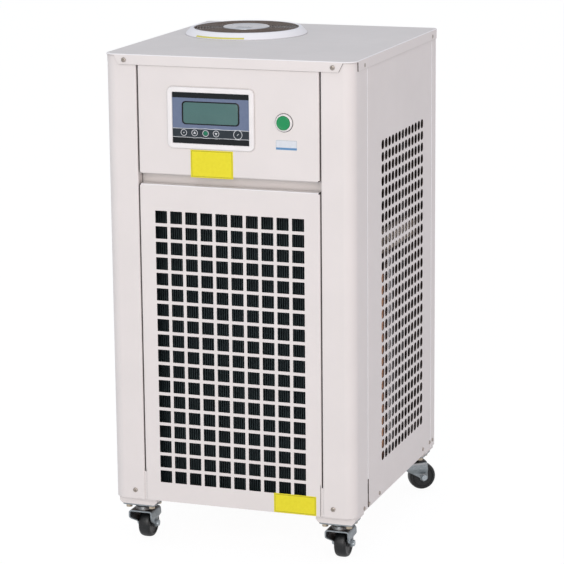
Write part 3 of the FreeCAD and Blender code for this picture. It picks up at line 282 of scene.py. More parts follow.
# Meshes
class Draft:
    """Mesh under construction, in cabinet millimetres."""

    def __init__(self) -> None:
        """Start with no points and no faces."""
        self.points: list[np.ndarray] = []
        self.faces: list[np.ndarray] = []
        self.finishes: list[np.ndarray] = []
        self.count = 0

    def add(self, points: np.ndarray, faces: np.ndarray, finish: int | np.ndarray = 0) -> None:
        """Add points and the faces between them.

        Args:
            points: Points, shape (n, 3).
            faces: Indices of the faces' corners, shape (m, k).
            finish: Number of the finish of all or each of the faces.
        """
        self.points.append(points.reshape(-1, 3))
        self.faces.append(faces + self.count)
        self.finishes.append(np.broadcast_to(finish, (len(faces),)))
        self.count += len(points.reshape(-1, 3))

    def grid(self, surface: np.ndarray, finish: int | np.ndarray = 0, wrap_rows: bool = False,
             wrap_columns: bool = False, keep: np.ndarray | None = None) -> int:
        """Add a surface of rows and columns, whose normal is row direction cross column direction.

        Args:
            surface: Points, shape (rows, columns, 3).
            finish: Number of the finish of all or each of the cells.
            wrap_rows: Join the last row to the first.
            wrap_columns: Join the last column to the first.
            keep: Cells to keep.

        Returns:
            Number of the surface's first point.
        """
        rows, columns = surface.shape[:2]
        index = np.arange(rows * columns).reshape(rows, columns)
        index = np.concatenate([index, index[:1]]) if wrap_rows else index
        index = np.concatenate([index, index[:, :1]], axis=1) if wrap_columns else index
        cells = np.stack([index[:-1, :-1], index[1:, :-1], index[1:, 1:], index[:-1, 1:]], axis=-1)
        kept = np.ones(cells.shape[:2], bool) if keep is None else keep
        numbers = np.broadcast_to(finish, cells.shape[:2])[kept]
        first = self.count
        self.add(surface, cells[kept], numbers)
        return first

    def lid(self, ring: np.ndarray, finish: int = 0) -> None:
        """Close a flat ring of points with one face."""
        self.add(ring, np.arange(len(ring))[None], finish)

    def turn(self, profile: np.ndarray, seat: Seat, count: int = 48, finish: int | np.ndarray = 0,
             closed: bool = False) -> None:
        """Add a surface turned about a seat's normal.

        Point = radius (cos a, sin a) in the seat's plane at the profile's height.

        Args:
            profile: Radius and height of each row, from the top of the axis outwards and down.
            seat: Place of the axis.
            count: Columns in a full turn.
            finish: Number of the finish of all or each of the cells.
            closed: Join the profile's end to its start.
        """
        u, v = polar(profile[:, :1], round_angles(count)[None])
        self.grid(seat.place(u, v, profile[:, 1:]), finish, closed, True)

    def patch(self, seat: Seat, half: Pair, radius: float, profile: list[Pair],
              steps: int) -> None:
        """Add a closed patch of nested rounded rectangles, each drawn in by an inset at a height.

        Args:
            seat: Place of the middle.
            half: Half width and half height at inset 0.
            radius: Corner radius at inset 0.
            profile: Inset and height of each ring, from the back edge to the field in the middle.
            steps: Intervals in one corner.
        """
        rows = [(half[0] - inset, half[1] - inset, max(radius - inset, 0.05), level)
                for inset, level in profile]
        surface = seat.rings(rows, steps)[:, ::-1]
        self.grid(surface, wrap_columns=True)
        self.lid(surface[-1][::-1])
        self.lid(surface[0])

    def tube(self, path: np.ndarray, radius: float, sides: int, closed: bool = False) -> None:
        """Add a round wire along a path.

        Point = path + radius (cos a times the side + sin a times the upright), where the
        side is the path's direction cross the vertical, or cross x for an upright path.

        Args:
            path: Points of the middle line.
            radius: Radius of the wire.
            sides: Columns round it.
            closed: Join the path's end to its start.
        """
        if closed:
            ahead = np.roll(path, -1, axis=0) - np.roll(path, 1, axis=0)
        else:
            ahead = np.gradient(path, axis=0)
        ahead /= np.linalg.norm(ahead, axis=1, keepdims=True)
        vertical = np.where(np.abs(ahead[:, 2:]) > 0.9, [[1.0, 0, 0]], [[0, 0, 1.0]])
        side = np.cross(ahead, vertical)
        side /= np.linalg.norm(side, axis=1, keepdims=True)
        upright = np.cross(side, ahead)
        angle = round_angles(sides)[None, :, None]
        arms = np.cos(angle) * side[:, None] + np.sin(angle) * upright[:, None]
        surface = path[:, None] + radius * arms
        self.grid(surface, 0, closed, True)
        if not closed:
            self.lid(surface[0])
            self.lid(surface[-1][::-1])

    def moved(self, angle: float, offset: Triple) -> "Draft":
        """Turn everything about the upright axis, then move it.

        Args:
            angle: Angle in degrees.
            offset: Distance along x, y and z.

        Returns:
            The draft itself.
        """
        swing = np.array(Matrix.Rotation(math.radians(angle), 3, "Z"))
        self.points = [points @ swing.T + np.array(offset) for points in self.points]
        return self

    def piece(self, name: str, finishes: list["Finish"], body: str, slot: str,
              replaces: tuple[str, ...] = (), wall: float = 0.0, sharp: float = 32.0,
              closed: bool = True) -> bpy.types.Object:
        """Make the finished object, which rides on a body.

        Args:
            name: Name of the object.
            finishes: Finishes by number.
            body: Body that it moves with.
            slot: Slot of the record that its finish stands for; not used.
            replaces: Nodes of the frame that it stands for.
            wall: Thickness that a sheet grows inwards, or 0. Its inner side and cut edges take the
                last finish.
            sharp: Angle in degrees from which an edge shades sharp.
            closed: The draft is a closed solid, so its normals are worked out again.

        Returns:
            The object.
        """
        points = np.concatenate(self.points) * MM + ORIGIN
        used = np.unique(np.concatenate([faces.ravel() for faces in self.faces]))
        renumber = np.zeros(len(points), int)
        renumber[used] = np.arange(len(used))
        rows = [row for faces in self.faces for row in renumber[faces].tolist()]
        mesh = bpy.data.meshes.new(name)
        mesh.from_pydata(points[used].tolist(), [], rows)
        mesh.polygons.foreach_set("material_index", np.concatenate(self.finishes).astype(np.int32))
        for finish in finishes:
            mesh.materials.append(finish.material())
        work = bmesh.new()
        work.from_mesh(mesh)
        bmesh.ops.remove_doubles(work, verts=work.verts, dist=WELD)
        if closed:
            bmesh.ops.recalc_face_normals(work, faces=work.faces)
        work.to_mesh(mesh)
        work.free()
        item = bpy.data.objects.new(name, mesh)
        bpy.context.scene.collection.objects.link(item)
        if wall:
            solidify = item.modifiers.new("Wall", "SOLIDIFY")
            solidify.thickness = wall * MM
            solidify.offset = -1
            solidify.use_even_offset = True
            solidify.material_offset = len(finishes) - 1
            solidify.material_offset_rim = len(finishes) - 1
            graph = bpy.context.evaluated_depsgraph_get()
            finished = bpy.data.meshes.new_from_object(item.evaluated_get(graph))
            item.modifiers.clear()
            item.data = finished
            finished.name = name
        item.data.shade_smooth()
        item.data.set_sharp_from_angle(angle=math.radians(sharp))
        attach(item, body)
        if replaces:
            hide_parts(*replaces)
        return item


# Finishes
def linear(code: str) -> tuple[float, float, float, float]:
    """Linear colour by the sRGB curve ((c + 0.055) / 1.055) to the power 2.4, or c / 12.92 near black.

    Args:
        code: sRGB colour in hex digits after a hash.

    Returns:
        Red, green, blue and an opacity of 1.
    """
    value = np.array([int(code[k:k + 2], 16) for k in (1, 3, 5)]) / 255
    curve = np.where(value <= 0.04045, value / 12.92, ((value + 0.055) / 1.055) ** 2.4)
    return (*curve.tolist(), 1.0)


def add_node(tree: Tree, kind: str, inputs: dict | None = None,
             **settings: object) -> bpy.types.Node:
    """Add a node with its settings and links.

    Args:
        tree: Node tree that it goes into.
        kind: Blender's name of the node.
        inputs: Value or linked socket for each input, by name or number.
        settings: Settings of the node.

    Returns:
        The node.
    """
    node = tree.nodes.new(kind)
    for key, value in settings.items():
        setattr(node, key, value)
    for key, value in (inputs or {}).items():
        if isinstance(value, Socket):
            tree.links.new(value, node.inputs[key])
        else:
            node.inputs[key].default_value = value
    return node


@dataclass(frozen=True)
class Finish:
    """Surface finish of a name and a main colour; its kinds say how it is made."""

    name: str
    colour: str
    roughness: float

    def material(self) -> bpy.types.Material:
        """The material, made on first use.

        Returns:
            Material of the finish's name.
        """
        known = bpy.data.materials.get(self.name)
        if known:
            return known
        material = bpy.data.materials.new(self.name)
        material.use_nodes = True
        material.diffuse_color = linear(self.colour)
        tree = material.node_tree
        tree.nodes.clear()
        shader = add_node(tree, "ShaderNodeBsdfPrincipled", self.dress(tree))
        add_node(tree, "ShaderNodeOutputMaterial", {"Surface": shader.outputs["BSDF"]})
        return material

    def dress(self, tree: Tree) -> dict[str, object]:
        """Pattern of the finish; each kind has its own.

        Args:
            tree: Node tree of the material.

        Returns:
            Value or linked socket for each of the shader's own inputs that the kind sets.
        """
        raise NotImplementedError

    def drift(self, tree: Tree, size: float, low: float, high: float,
              detail: float = 3.0) -> Socket:
        """Value that drifts between two levels over patches of a size in millimetres.

        Args:
            tree: Node tree.
            size: Size of the patches.
            low: Lowest value.
            high: Highest value.
            detail: Octaves of finer patches.

        Returns:
            Socket of the value.
        """
        place = add_node(tree, "ShaderNodeTexCoord")
        noise = add_node(tree, "ShaderNodeTexNoise", {
            "Vector": place.outputs["Object"], "Scale": 1 / (size * MM), "Detail": detail})
        level = add_node(tree, "ShaderNodeMapRange", {
            "Value": noise.outputs[0], "From Min": 0.3, "From Max": 0.7, "To Min": low, "To Max": high})
        return level.outputs["Result"]

    def gloss(self, tree: Tree, size: float, less: float, more: float) -> Socket:
        """Roughness that drifts round the finish's own, from less to more, over patches of a size."""
        return self.drift(tree, size, self.roughness - less, self.roughness + more)

    def tint(self, tree: Tree, other: str, factor: Socket) -> Socket:
        """Colour between the finish's own and another by a factor."""
        mix = add_node(tree, "ShaderNodeMix", {0: factor, 6: linear(self.colour), 7: linear(other)},
                       data_type="RGBA")
        return mix.outputs[2]

    def occlusion_shade(self, tree: Tree, colour: Socket, reach: float,
              share: float) -> Socket:
        """Colour that turns dark brown where other faces stand near: painted shade from ambient occlusion.

        Args:
            tree: Node tree.
            colour: Colour of the clean surface.
            reach: Distance in millimetres up to which a face counts as near.
            share: Share of the painted shade in the deepest joints.

        Returns:
            Socket of the colour.
        """
        near = add_node(tree, "ShaderNodeAmbientOcclusion", {"Distance": reach * MM}, samples=8)
        level = add_node(tree, "ShaderNodeMapRange", {
            "Value": near.outputs["AO"], "From Min": 0.2, "From Max": 0.85, "To Min": 1 - share})
        mix = add_node(tree, "ShaderNodeMix", {0: level.outputs["Result"], 6: linear("#3A281D"), 7: colour},
                       data_type="RGBA")
        return mix.outputs[2]

    def relief(self, tree: Tree, height: Socket,
               depth: float) -> Socket:
        """Normal of a relief whose full height is a depth in millimetres."""
        bump = add_node(tree, "ShaderNodeBump", {"Height": height, "Distance": depth * MM, "Strength": 1.0})
        return bump.outputs["Normal"]

    def grained(self, tree: Tree, size: float, depth: float,
                detail: float = 2.0) -> Socket:
        """Normal of an irregular grain of a size and a depth in millimetres."""
        return self.relief(tree, self.drift(tree, size, 0.0, 1.0, detail), depth)


@dataclass(frozen=True)
class PowderCoat(Finish):
    """Baked powder coat on sheet steel: an even satin with a soft orange peel."""

    shade: str = "#DCD8D4"
    peel: float = 1.8
    depth: float = 0.012
    # Share of the painted highlight on up-facing bends, share of the painted shade in joints, share of the
    # painted highlight on front-facing bends, the normal's part where the highlight peaks, and the painted
    # shade's reach in mm
    fold: float = 0.9
    joint_shade: float = 0.75
    front_bend_highlight: float = 0.0
    bend: float = 0.66
    shade_reach: float = 4.0

    def dress(self, tree: Tree) -> dict[str, object]:
        """Slow drift of colour and gloss with the orange peel as relief, a painted highlight on the bends and
        painted shade in the joints.

        Bends that face up or to the front, where the normal's part that way is near 0.66, are lightened
        towards white as a painted highlight, and faces within 4 mm of each other are darkened as painted
        shade.

        Args:
            tree: Node tree of the material.

        Returns:
            Value or linked socket for each of the shader's inputs.
        """
        colour = self.tint(tree, self.shade, self.drift(tree, 90.0, 0.0, 0.35))
        normal = add_node(tree, "ShaderNodeTexCoord").outputs["Normal"]
        part = add_node(tree, "ShaderNodeSeparateXYZ", {"Vector": normal})
        shares = []
        for axis, middle, most in (("Z", self.bend, self.fold), ("Y", -self.bend, self.front_bend_highlight)):
            off = add_node(tree, "ShaderNodeMath", {0: part.outputs[axis], 1: middle}, operation="SUBTRACT")
            away = add_node(tree, "ShaderNodeMath", {0: off.outputs[0]}, operation="ABSOLUTE")
            shares.append(add_node(tree, "ShaderNodeMapRange", {
                "Value": away.outputs[0], "From Min": 0.3, "From Max": 0.12, "To Max": most}))
        share = add_node(tree, "ShaderNodeMath", {
            number: row.outputs["Result"] for number, row in enumerate(shares)}, operation="MAXIMUM")
        # The near-white mixed in on those bends is a painted highlight
        light = add_node(tree, "ShaderNodeMix", {0: share.outputs[0], 6: colour, 7: linear("#FDFDFD")},
                         data_type="RGBA")
        return {"Base Color": self.occlusion_shade(tree, light.outputs[2], self.shade_reach, self.joint_shade),
                "Roughness": self.gloss(tree, 35.0, 0.04, 0.05),
                "Normal": self.grained(tree, self.peel, self.depth, 1.0), "IOR": 1.5}


@dataclass(frozen=True)
class Plated(Finish):
    """Plated or galvanised metal: a bright coat with a faint spangle and dull patches."""

    other: str
    spangle: float = 6.0
    depth: float = 0.01
    # Share and reach in mm of the painted shade where faces stand near
    recess_shade: float = 0.0
    recess_reach: float = 25.0

    def dress(self, tree: Tree) -> dict[str, object]:
        """Cells of slightly different tint, dull drift, a fine rolled grain, and painted shade in close
        joints.

        Args:
            tree: Node tree of the material.

        Returns:
            Value or linked socket for each of the shader's inputs.
        """
        place = add_node(tree, "ShaderNodeTexCoord")
        cells = add_node(tree, "ShaderNodeTexVoronoi", {
            "Vector": place.outputs["Object"], "Scale": 1 / (self.spangle * MM)})
        grey = add_node(tree, "ShaderNodeRGBToBW", {"Color": cells.outputs["Color"]})
        tinted = self.tint(tree, self.other, grey.outputs["Val"])
        return {"Base Color": self.occlusion_shade(tree, tinted, self.recess_reach, self.recess_shade),
                "Roughness": self.gloss(tree, 12.0, 0.08, 0.12),
                "Normal": self.grained(tree, 0.8, self.depth), "Metallic": 1.0}


@dataclass(frozen=True)
class Moulded(Finish):
    """Injection-moulded plastic or rubber with the fine matt grain of an eroded tool."""

    other: str
    grain: float = 0.5
    depth: float = 0.02

    def dress(self, tree: Tree) -> dict[str, object]:
        """Slow drift of colour and gloss, with the tool's grain as relief."""
        return {"Base Color": self.tint(tree, self.other, self.drift(tree, 20.0, 0.0, 0.6)),
                "Roughness": self.gloss(tree, 8.0, 0.04, 0.06),
                "Normal": self.grained(tree, self.grain, self.depth), "IOR": 1.5}


@dataclass(frozen=True)
class Spun(Finish):
    """Sheet aluminium turned on a lathe, with fine rings about an upright axis."""

    centre: Pair
    other: str = "#C4C9CE"
    pitch: float = 1.2

    def dress(self, tree: Tree) -> dict[str, object]:
        """Rings of turning marks centred on the axis; drawn coarser than real so that they show.

        Args:
            tree: Node tree of the material.

        Returns:
            Value or linked socket for each of the shader's inputs.
        """
        place = add_node(tree, "ShaderNodeTexCoord")
        shift = [-(self.centre[0] * MM + ORIGIN[0]), -(self.centre[1] * MM + ORIGIN[1]), 0.0]
        centred = add_node(tree, "ShaderNodeMapping", {"Vector": place.outputs["Object"], "Location": shift})
        rings = add_node(tree, "ShaderNodeTexWave", {
            "Vector": centred.outputs["Vector"], "Scale": math.pi / (10 * self.pitch * MM), "Distortion": 0.4,
            "Detail": 2.0}, wave_type="RINGS", rings_direction="Z")
        return {"Base Color": self.tint(tree, self.other, rings.outputs["Fac"]),
                "Roughness": self.gloss(tree, 15.0, 0.05, 0.08),
                "Normal": self.relief(tree, rings.outputs["Fac"], 0.01), "Metallic": 1.0}


@dataclass(frozen=True)
class Printed(Finish):
    """Screen-printed film or vinyl: an even ink with a faint mottle under a smooth face."""

    other: str
    coat: float = 0.3

    def dress(self, tree: Tree) -> dict[str, object]:
        """Ink mottle in colour and gloss, a dull overprint, and the slight ripple of a film stuck by hand."""
        return {"Base Color": self.tint(tree, self.other, self.drift(tree, 5.0, 0.0, 0.7)),
                "Roughness": self.gloss(tree, 2.0, 0.03, 0.05),
                "Normal": self.grained(tree, 14.0, 0.03, 1.0), "IOR": 1.5, "Specular IOR Level": 0.25,
                "Coat Weight": self.coat, "Coat Roughness": 0.08}


@dataclass(frozen=True)
class Pane(Finish):
    """Glossy pane over a display: a dark reflector with a faint matrix of cells below it."""

    other: str
    cell: float = 1.6

    def dress(self, tree: Tree) -> dict[str, object]:
        """Grid of square cells, coarser than the real ones so that they show, and a slow tint.

        Args:
            tree: Node tree of the material.

        Returns:
            Value or linked socket for each of the shader's inputs.
        """
        place = add_node(tree, "ShaderNodeTexCoord")
        upright = add_node(tree, "ShaderNodeMapping", {
            "Vector": place.outputs["Object"], "Rotation": (math.pi / 2, 0, 0)})
        cells = add_node(tree, "ShaderNodeTexBrick", {
            "Vector": upright.outputs["Vector"], "Color1": (1, 1, 1, 1), "Color2": (0.9, 0.9, 0.9, 1),
            "Mortar": (0.75, 0.75, 0.75, 1), "Scale": 1 / (self.cell * MM), "Mortar Size": 0.06,
            "Brick Width": 1.0, "Row Height": 1.0}, offset=0.0)
        drifted = self.tint(tree, self.other, self.drift(tree, 40.0, 0.0, 1.0))
        mix = add_node(tree, "ShaderNodeMix", {0: 0.35, 6: drifted, 7: cells.outputs["Color"]},
                       data_type="RGBA", blend_type="MULTIPLY")
        return {"Base Color": mix.outputs[2], "Roughness": self.gloss(tree, 10.0, 0.0, 0.06), "IOR": 1.5,
                "Coat Weight": 0.1, "Coat Roughness": 0.08}


@dataclass(frozen=True)
class Clear(Finish):
    """Clear moulded plastic, which lets most of the light through."""

    other: str

    def dress(self, tree: Tree) -> dict[str, object]:
        """Transmission with a slight haze and a soft ripple."""
        return {"Base Color": self.tint(tree, self.other, self.drift(tree, 12.0, 0.0, 1.0)),
                "Roughness": self.gloss(tree, 6.0, 0.0, 0.05),
                "Normal": self.grained(tree, 9.0, 0.03, 1.0), "Transmission Weight": 0.85, "IOR": 1.49}


@dataclass(frozen=True)
class Foam(Finish):
    """Closed-cell foam with a pitted skin."""

    other: str
    cell: float = 2.5

    def dress(self, tree: Tree) -> dict[str, object]:
        """Pits in a Voronoi pattern, darker at their bottom.

        Args:
            tree: Node tree of the material.

        Returns:
            Value or linked socket for each of the shader's inputs.
        """
        place = add_node(tree, "ShaderNodeTexCoord")
        pits = add_node(tree, "ShaderNodeTexVoronoi", {
            "Vector": place.outputs["Object"], "Scale": 1 / (self.cell * MM)})
        deep = add_node(tree, "ShaderNodeMapRange", {"Value": pits.outputs["Distance"], "From Max": 0.7})
        return {"Base Color": self.tint(tree, self.other, deep.outputs["Result"]),
                "Roughness": self.gloss(tree, 8.0, 0.05, 0.0),
                "Normal": self.relief(tree, deep.outputs["Result"], 0.15), "Sheen Weight": 0.15}


# Powder-coated steel: the cream casing, even and satin, with a painted highlight on its up-facing bends and
# painted shade in its joints
CREAM = PowderCoat("powder_coat_cream", "#E6E1DD", 0.46)
# The same coat, whose painted highlight lies on the front-facing bends too
CREAM_FRONT_HIGHLIGHT = PowderCoat("powder_coat_front_highlight", "#E6E1DD", 0.46, front_bend_highlight=1.0)
# Dark brown painted shade on the inner side and cut edges of the casing's sheets, which leaves the openings
# dark
INNER_SHADE = PowderCoat("inner_painted_shade", "#3A2C25", 0.6, "#41332B", fold=0.0, joint_shade=0.0)
# Whiter coat on the fan's ring, with a weaker painted highlight on its up-facing flank and painted shade in
# its joints
RING_WHITE = PowderCoat("ring_white", "#F6F7FA", 0.4, "#EFF1F5", fold=0.3)
# Galvanised steel inside the cabinet: grey, dulled by dust, with a faint spangle
GALVANISED = Plated("galvanised_steel", "#5E5F60", 0.5, "#6C6D6E", 9.0)
# Pale grey paint on the post behind the slots
POST_PAINT = PowderCoat("post_paint", "#E9EAEA", 0.5, "#DDDEDF", fold=0.0, joint_shade=0.0)
# Bright zinc on pressed caster forks, drawn a darker cold grey as painted shade under the cabinet and darker
# still in joints within 25 mm as painted shade; half gloss
SHADED_ZINC = Plated("zinc_painted_shade", "#8B9296", 0.42, "#A2A9AC", 3.0, recess_shade=0.9)
# Clean zinc on the axle bolts: bright and cool
AXLE_ZINC = Plated("axle_zinc", "#BCC4C8", 0.3, "#A6AFB4", 2.0)
# Yellow chromated zinc on the bolts: warm pale brown
YELLOW_ZINC = Plated("yellow_zinc", "#C8BDA9", 0.42, "#B3A694", 2.5)
# Nickel-plated casing screws: bright with a soft haze
NICKEL = Plated("nickel_screw", "#B9B1A8", 0.34, "#A39B93", 2.0)
# Spun aluminium disc over the fan's hub: bright rings
SPUN = Spun("spun_aluminium", "#D0D2D6", 0.3, (-84.0, 322.0))
# Black enamel on the fan's motor and duct, the compressor and the pump's motor
# Its joints are darkened by a 0.3 share as painted shade
ENAMEL = PowderCoat("black_enamel", "#24211F", 0.5, "#2E2A28", 1.2, 0.01, 0.0, 0.3)
# Brown-black enamel on the guard's wire: a satin that looks brown in the light
WIRE = PowderCoat("brown_black_wire", "#57493F", 0.4, "#66564A", 1.0, 0.01, 0.0, 0.0)
# Glass-filled nylon of the fan's rotor: dull dark grey
FAN_NYLON = Moulded("nylon_fan", "#35373A", 0.55, "#2B2D2F")
# ABS of the controller's frame: clean white, fine grain
WHITE_ABS = Moulded("abs_white", "#F2F0EE", 0.38, "#E8E6E3", 0.6, 0.012)
# ABS of the housings behind the panel
GREY_ABS = Moulded("abs_grey", "#8A8D8F", 0.5, "#7D8082")
# Inks of the controller's polyester film
INK_BLACK = Printed("film_black", "#0E1316", 0.18, "#14191C", 0.0)
INK_SLATE = Printed("film_slate", "#697690", 0.2, "#707D95", 0.0)
INK_CHARCOAL = Printed("film_charcoal", "#2A3238", 0.2, "#32393F", 0.0)
INK_WHITE = Printed("film_white", "#D8DCDE", 0.35, "#C8CCCE", 0.1)
INK_GREEN = Printed("film_green", "#127A58", 0.32, "#0F6A4C")
# Display window: grey-green and glossy
DISPLAY = Pane("display_pane", "#4A716D", 0.2, "#456B67")
# Translucent green cap of the push button
GREEN_CAP = Moulded("polycarbonate_green", "#009253", 0.22, "#00874C", 1.2, 0.01)
# Vinyl labels: bare fields of their ground colour with a darker frame line
VINYL_YELLOW = Printed("vinyl_yellow", "#EBE02E", 0.42, "#E3D724", 0.1)
VINYL_STRAW = Printed("vinyl_straw", "#DDD86A", 0.42, "#D2CC60", 0.1)
VINYL_OCHRE = Printed("vinyl_ochre", "#9C9426", 0.42, "#8F8822", 0.1)
VINYL_PALE = Printed("vinyl_pale", "#DDE2E6", 0.35, "#D2D8DD", 0.3)
VINYL_BLUE = Printed("vinyl_blue", "#5F93BE", 0.35, "#5588B4", 0.3)
VINYL_GREY = Printed("vinyl_grey", "#A9AEB3", 0.4, "#9BA1A6", 0.2)
# Black-coated fins of the condenser: dark blue-green with a slight dust drift, the dark tone partly the
# coating and partly painted shade behind the grille
FIN = PowderCoat("coated_fin", "#2C3A3D", 0.6, "#344245", 2.0, 0.02, 0.0, 0.0)
# Copper tube with dull brown patches
COPPER = Plated("copper_tube", "#E2B193", 0.5, "#C99B7E", 14.0, 0.006)
# Bare brass of the ports and the pump's head: warm yellow, half gloss
BRASS = Plated("brass_fitting", "#C2A25E", 0.32, "#AE8F50", 6.0, 0.006)
# Nitrile foam round the tank: black, dull and pitted
TANK_FOAM = Foam("nitrile_foam", "#232426", 0.85, "#303234")
# Polyethylene foam sleeve on the pipe: pale cream and dull
SLEEVE_FOAM = Foam("polyethylene_foam", "#F6ECDD", 0.8, "#E8DCCA")
# Rubber of the grommets and the button's gasket: dull black
RUBBER = Moulded("grommet_rubber", "#222222", 0.7, "#2C2C2C", 0.8)
# Polyurethane wheel tread: black and half gloss, with a slight sheen of use
WHEEL_BLACK = Moulded("polyurethane_black", "#0B0E10", 0.38, "#14181A", 1.5, 0.03)
# ABS of the rear fittings: black with a satin grain
BLACK_ABS = Moulded("abs_black", "#26282A", 0.5, "#303234")
# Clear acrylic of the level gauge: glassy with a soft ripple
ACRYLIC = Clear("acrylic_clear", "#EEF4F3", 0.06, "#DCE6E4")


# Casing
@dataclass(frozen=True)
class Opening:
    """Hole with round corners in a sheet's flat."""

    u: float
    v: float
    half_u: float
    half_v: float
    radius: float
    steps: int = 3


@dataclass(frozen=True)
class FoldedSheet:
    """Flat sheet whose edges are folded back, with openings that lie one to a cell of its lines."""

    seat: Seat
    half: float
    low: float
    high: float
    flap: float = 18.0
    low_flap: float = 0.0
    high_flap: float = 0.0
    notch: float = 0.0
    notch_line: float = 0.0
    radius: float = FOLD
    lines_u: tuple[float, ...] = ()
    lines_v: tuple[float, ...] = ()
    openings: tuple[Opening, ...] = ()

    def draft(self) -> Draft:
        """Developed grid of lines, with a ring of faces round each opening, bent by folded().

        Returns:
            Draft of the sheet's outer face.
        """
        side = fold_lines(self.half, self.flap, self.radius)
        foot = fold_lines(-self.low, self.low_flap, self.radius)
        head = fold_lines(self.high, self.high_flap, self.radius)
        u = np.unique(np.round(np.concatenate([-side, side, self.lines_u]), 4))
        own_line = [self.notch] if self.notch and not self.notch_line else []
        v = np.unique(np.round(np.concatenate([-foot, head, self.lines_v, own_line]), 4))
        flat_u = self.half - self.radius if self.flap > 0 else math.inf
        low_v = self.low + self.radius if self.low_flap > 0 else -math.inf
        high_v = self.high - self.radius if self.high_flap > 0 else math.inf
        across, back_u = folded(u, -flat_u, flat_u, self.radius)
        up, back_v = folded(v, low_v, high_v, self.radius)
        line = self.notch_line or self.notch
        past_fold = (np.abs(u) > flat_u + 0.5)[:, None]
        moved_up = np.where(past_fold & np.isclose(v, line)[None], self.notch, up[None])
        surface = self.seat.place(across[:, None], moved_up, -(back_u[:, None] + back_v[None]))
        middle_u, middle_v = (u[1:] + u[:-1])[:, None] / 2, (v[1:] + v[:-1])[None] / 2
        on_flap = np.abs(middle_u) > flat_u
        keep = ~(on_flap & ((middle_v > high_v) | (middle_v < low_v) | (middle_v < line)))
        cells = [(int(np.searchsorted(u, opening.u)) - 1, int(np.searchsorted(v, opening.v)) - 1)
                 for opening in self.openings]
        for i, j in cells:
            keep[i, j] = False
        draft = Draft()
        first = draft.grid(surface, keep=keep)
        for opening, (i, j) in zip(self.openings, cells):
            corners = first + np.array([[i + 1, j + 1], [i, j + 1], [i, j], [i + 1, j]]) @ [len(v), 1]
            self.ring(draft, opening, corners)
        return draft

    def ring(self, draft: Draft, opening: Opening, corners: np.ndarray) -> None:
        """Fill a cell round its opening: a fan at each corner and a quad along each side.

        Args:
            draft: Draft to add to.
            opening: The opening.
            corners: Numbers of the cell's corners, counter-clockwise from high u and v.
        """
        edge = rounded_rectangle(opening.half_u, opening.half_v, opening.radius, opening.steps)
        points = self.seat.place(edge[:, 0] + opening.u, edge[:, 1] + opening.v, 0.0)
        count = opening.steps + 1
        index = (draft.count + np.arange(4 * count)).reshape(4, count)
        owner = np.repeat(corners[:, None], opening.steps, axis=1)
        fans = np.stack([owner, index[:, 1:], index[:, :-1]], axis=-1).reshape(-1, 3)
        sides = np.stack([corners, np.roll(corners, -1), np.roll(index[:, 0], -1), index[:, -1]], axis=-1)
        start = draft.count
        draft.add(points, fans - start)
        draft.add(np.zeros((0, 3)), sides - draft.count)


@dataclass(frozen=True)
class Column:
    """Corner column: a plan path carried up the cabinet, with its returns cut over the tray."""

    corners: tuple[Pair, ...]
    radii: Triple
    returned: float = 13.5

    def draft(self) -> Draft:
        """Surface of the path's points at each level, less the returns below the tray's top.

        Returns:
            Draft of the column's outer face.
        """
        path = rounded_path(list(self.corners), list(self.radii), 8, SUPPORT)
        level = np.array([0.0, TRAY_TOP, LID_UNDER])
        run = np.concatenate([[0], np.cumsum(np.linalg.norm(np.diff(path, axis=0), axis=1))])
        middle = (run[1:] + run[:-1])[:, None] / 2
        on_return = (middle < self.returned) | (middle > run[-1] - self.returned)
        keep = ~(on_return & (level[None, :-1] < TRAY_TOP))
        plan = np.broadcast_to(path[:, None], (len(path), 3, 2))
        upright = np.broadcast_to(level[None, :, None], (len(path), 3, 1))
        draft = Draft()
        draft.grid(np.concatenate([plan, upright], axis=-1), keep=keep)
        return draft


@dataclass(frozen=True)
class Screw:
    """Pan-head screw with a cross recess."""

    radius: float = 3.9
    height: float = 2.0
    arm: float = 0.6
    recess: float = 1.1

    def add(self, draft: Draft, seat: Seat, turn: float = 0.4) -> None:
        """Dome h = H sqrt(1 - (0.92 r)^4) less a cross whose arms fade out over 0.4 mm.

        Args:
            draft: Draft to add to.
            seat: Middle of the head on its face.
            turn: Angle of the cross in radians.
        """
        share = np.array([0.0, 0.14, 0.28, 0.4, 0.52, 0.64, 0.78, 0.9, 1.0])[:, None]
        angle = round_angles(32)[None]
        u, v = polar(share * self.radius, angle)
        dome = self.height * np.sqrt(1 - (0.92 * share) ** 4)
        near, far = np.minimum(np.abs(u), np.abs(v)), np.maximum(np.abs(u), np.abs(v))
        cross = np.clip((self.arm + 0.4 - near) / 0.4, 0, 1) * np.clip((0.62 * self.radius - far) / 0.4, 0, 1)
        top = np.maximum(dome - self.recess * cross, 0.2)
        u, v = polar(share * self.radius, angle + turn)
        surface = seat.place(u, v, top + 0 * u)
        foot_u, foot_v = polar(np.array([[self.radius]]), angle + turn)
        foot = seat.place(foot_u, foot_v, -0.3)
        draft.grid(np.concatenate([surface, foot]), wrap_columns=True)
        draft.lid(foot[0][::-1])


def round_opening(u: float, v: float, radius: float) -> Opening:
    """Round hole in a sheet's flat, with hardly any straight left between its four arcs."""
    return Opening(u, v, radius, radius, radius - 0.1, 6)


@dataclass(frozen=True)
class HoleField:
    """Even field of openings, with the sheet's lines midway between them."""

    first: Pair
    pitch: Pair
    count: tuple[int, int]
    half: Pair
    radius: float
    steps: int

    def places(self, axis: int) -> np.ndarray:
        """Middles of the openings along an axis: first + k pitch."""
        return self.first[axis] + np.arange(self.count[axis]) * self.pitch[axis]

    def lines(self, axis: int) -> tuple[float, ...]:
        """Lines of the sheet along an axis: first + (k - 1/2) pitch."""
        return tuple(self.first[axis] + (np.arange(self.count[axis] + 1) - 0.5) * self.pitch[axis])

    def openings(self) -> tuple[Opening, ...]:
        """The openings, column by column."""
        return tuple(Opening(u, v, *self.half, self.radius, self.steps)
                     for u in self.places(0) for v in self.places(1))


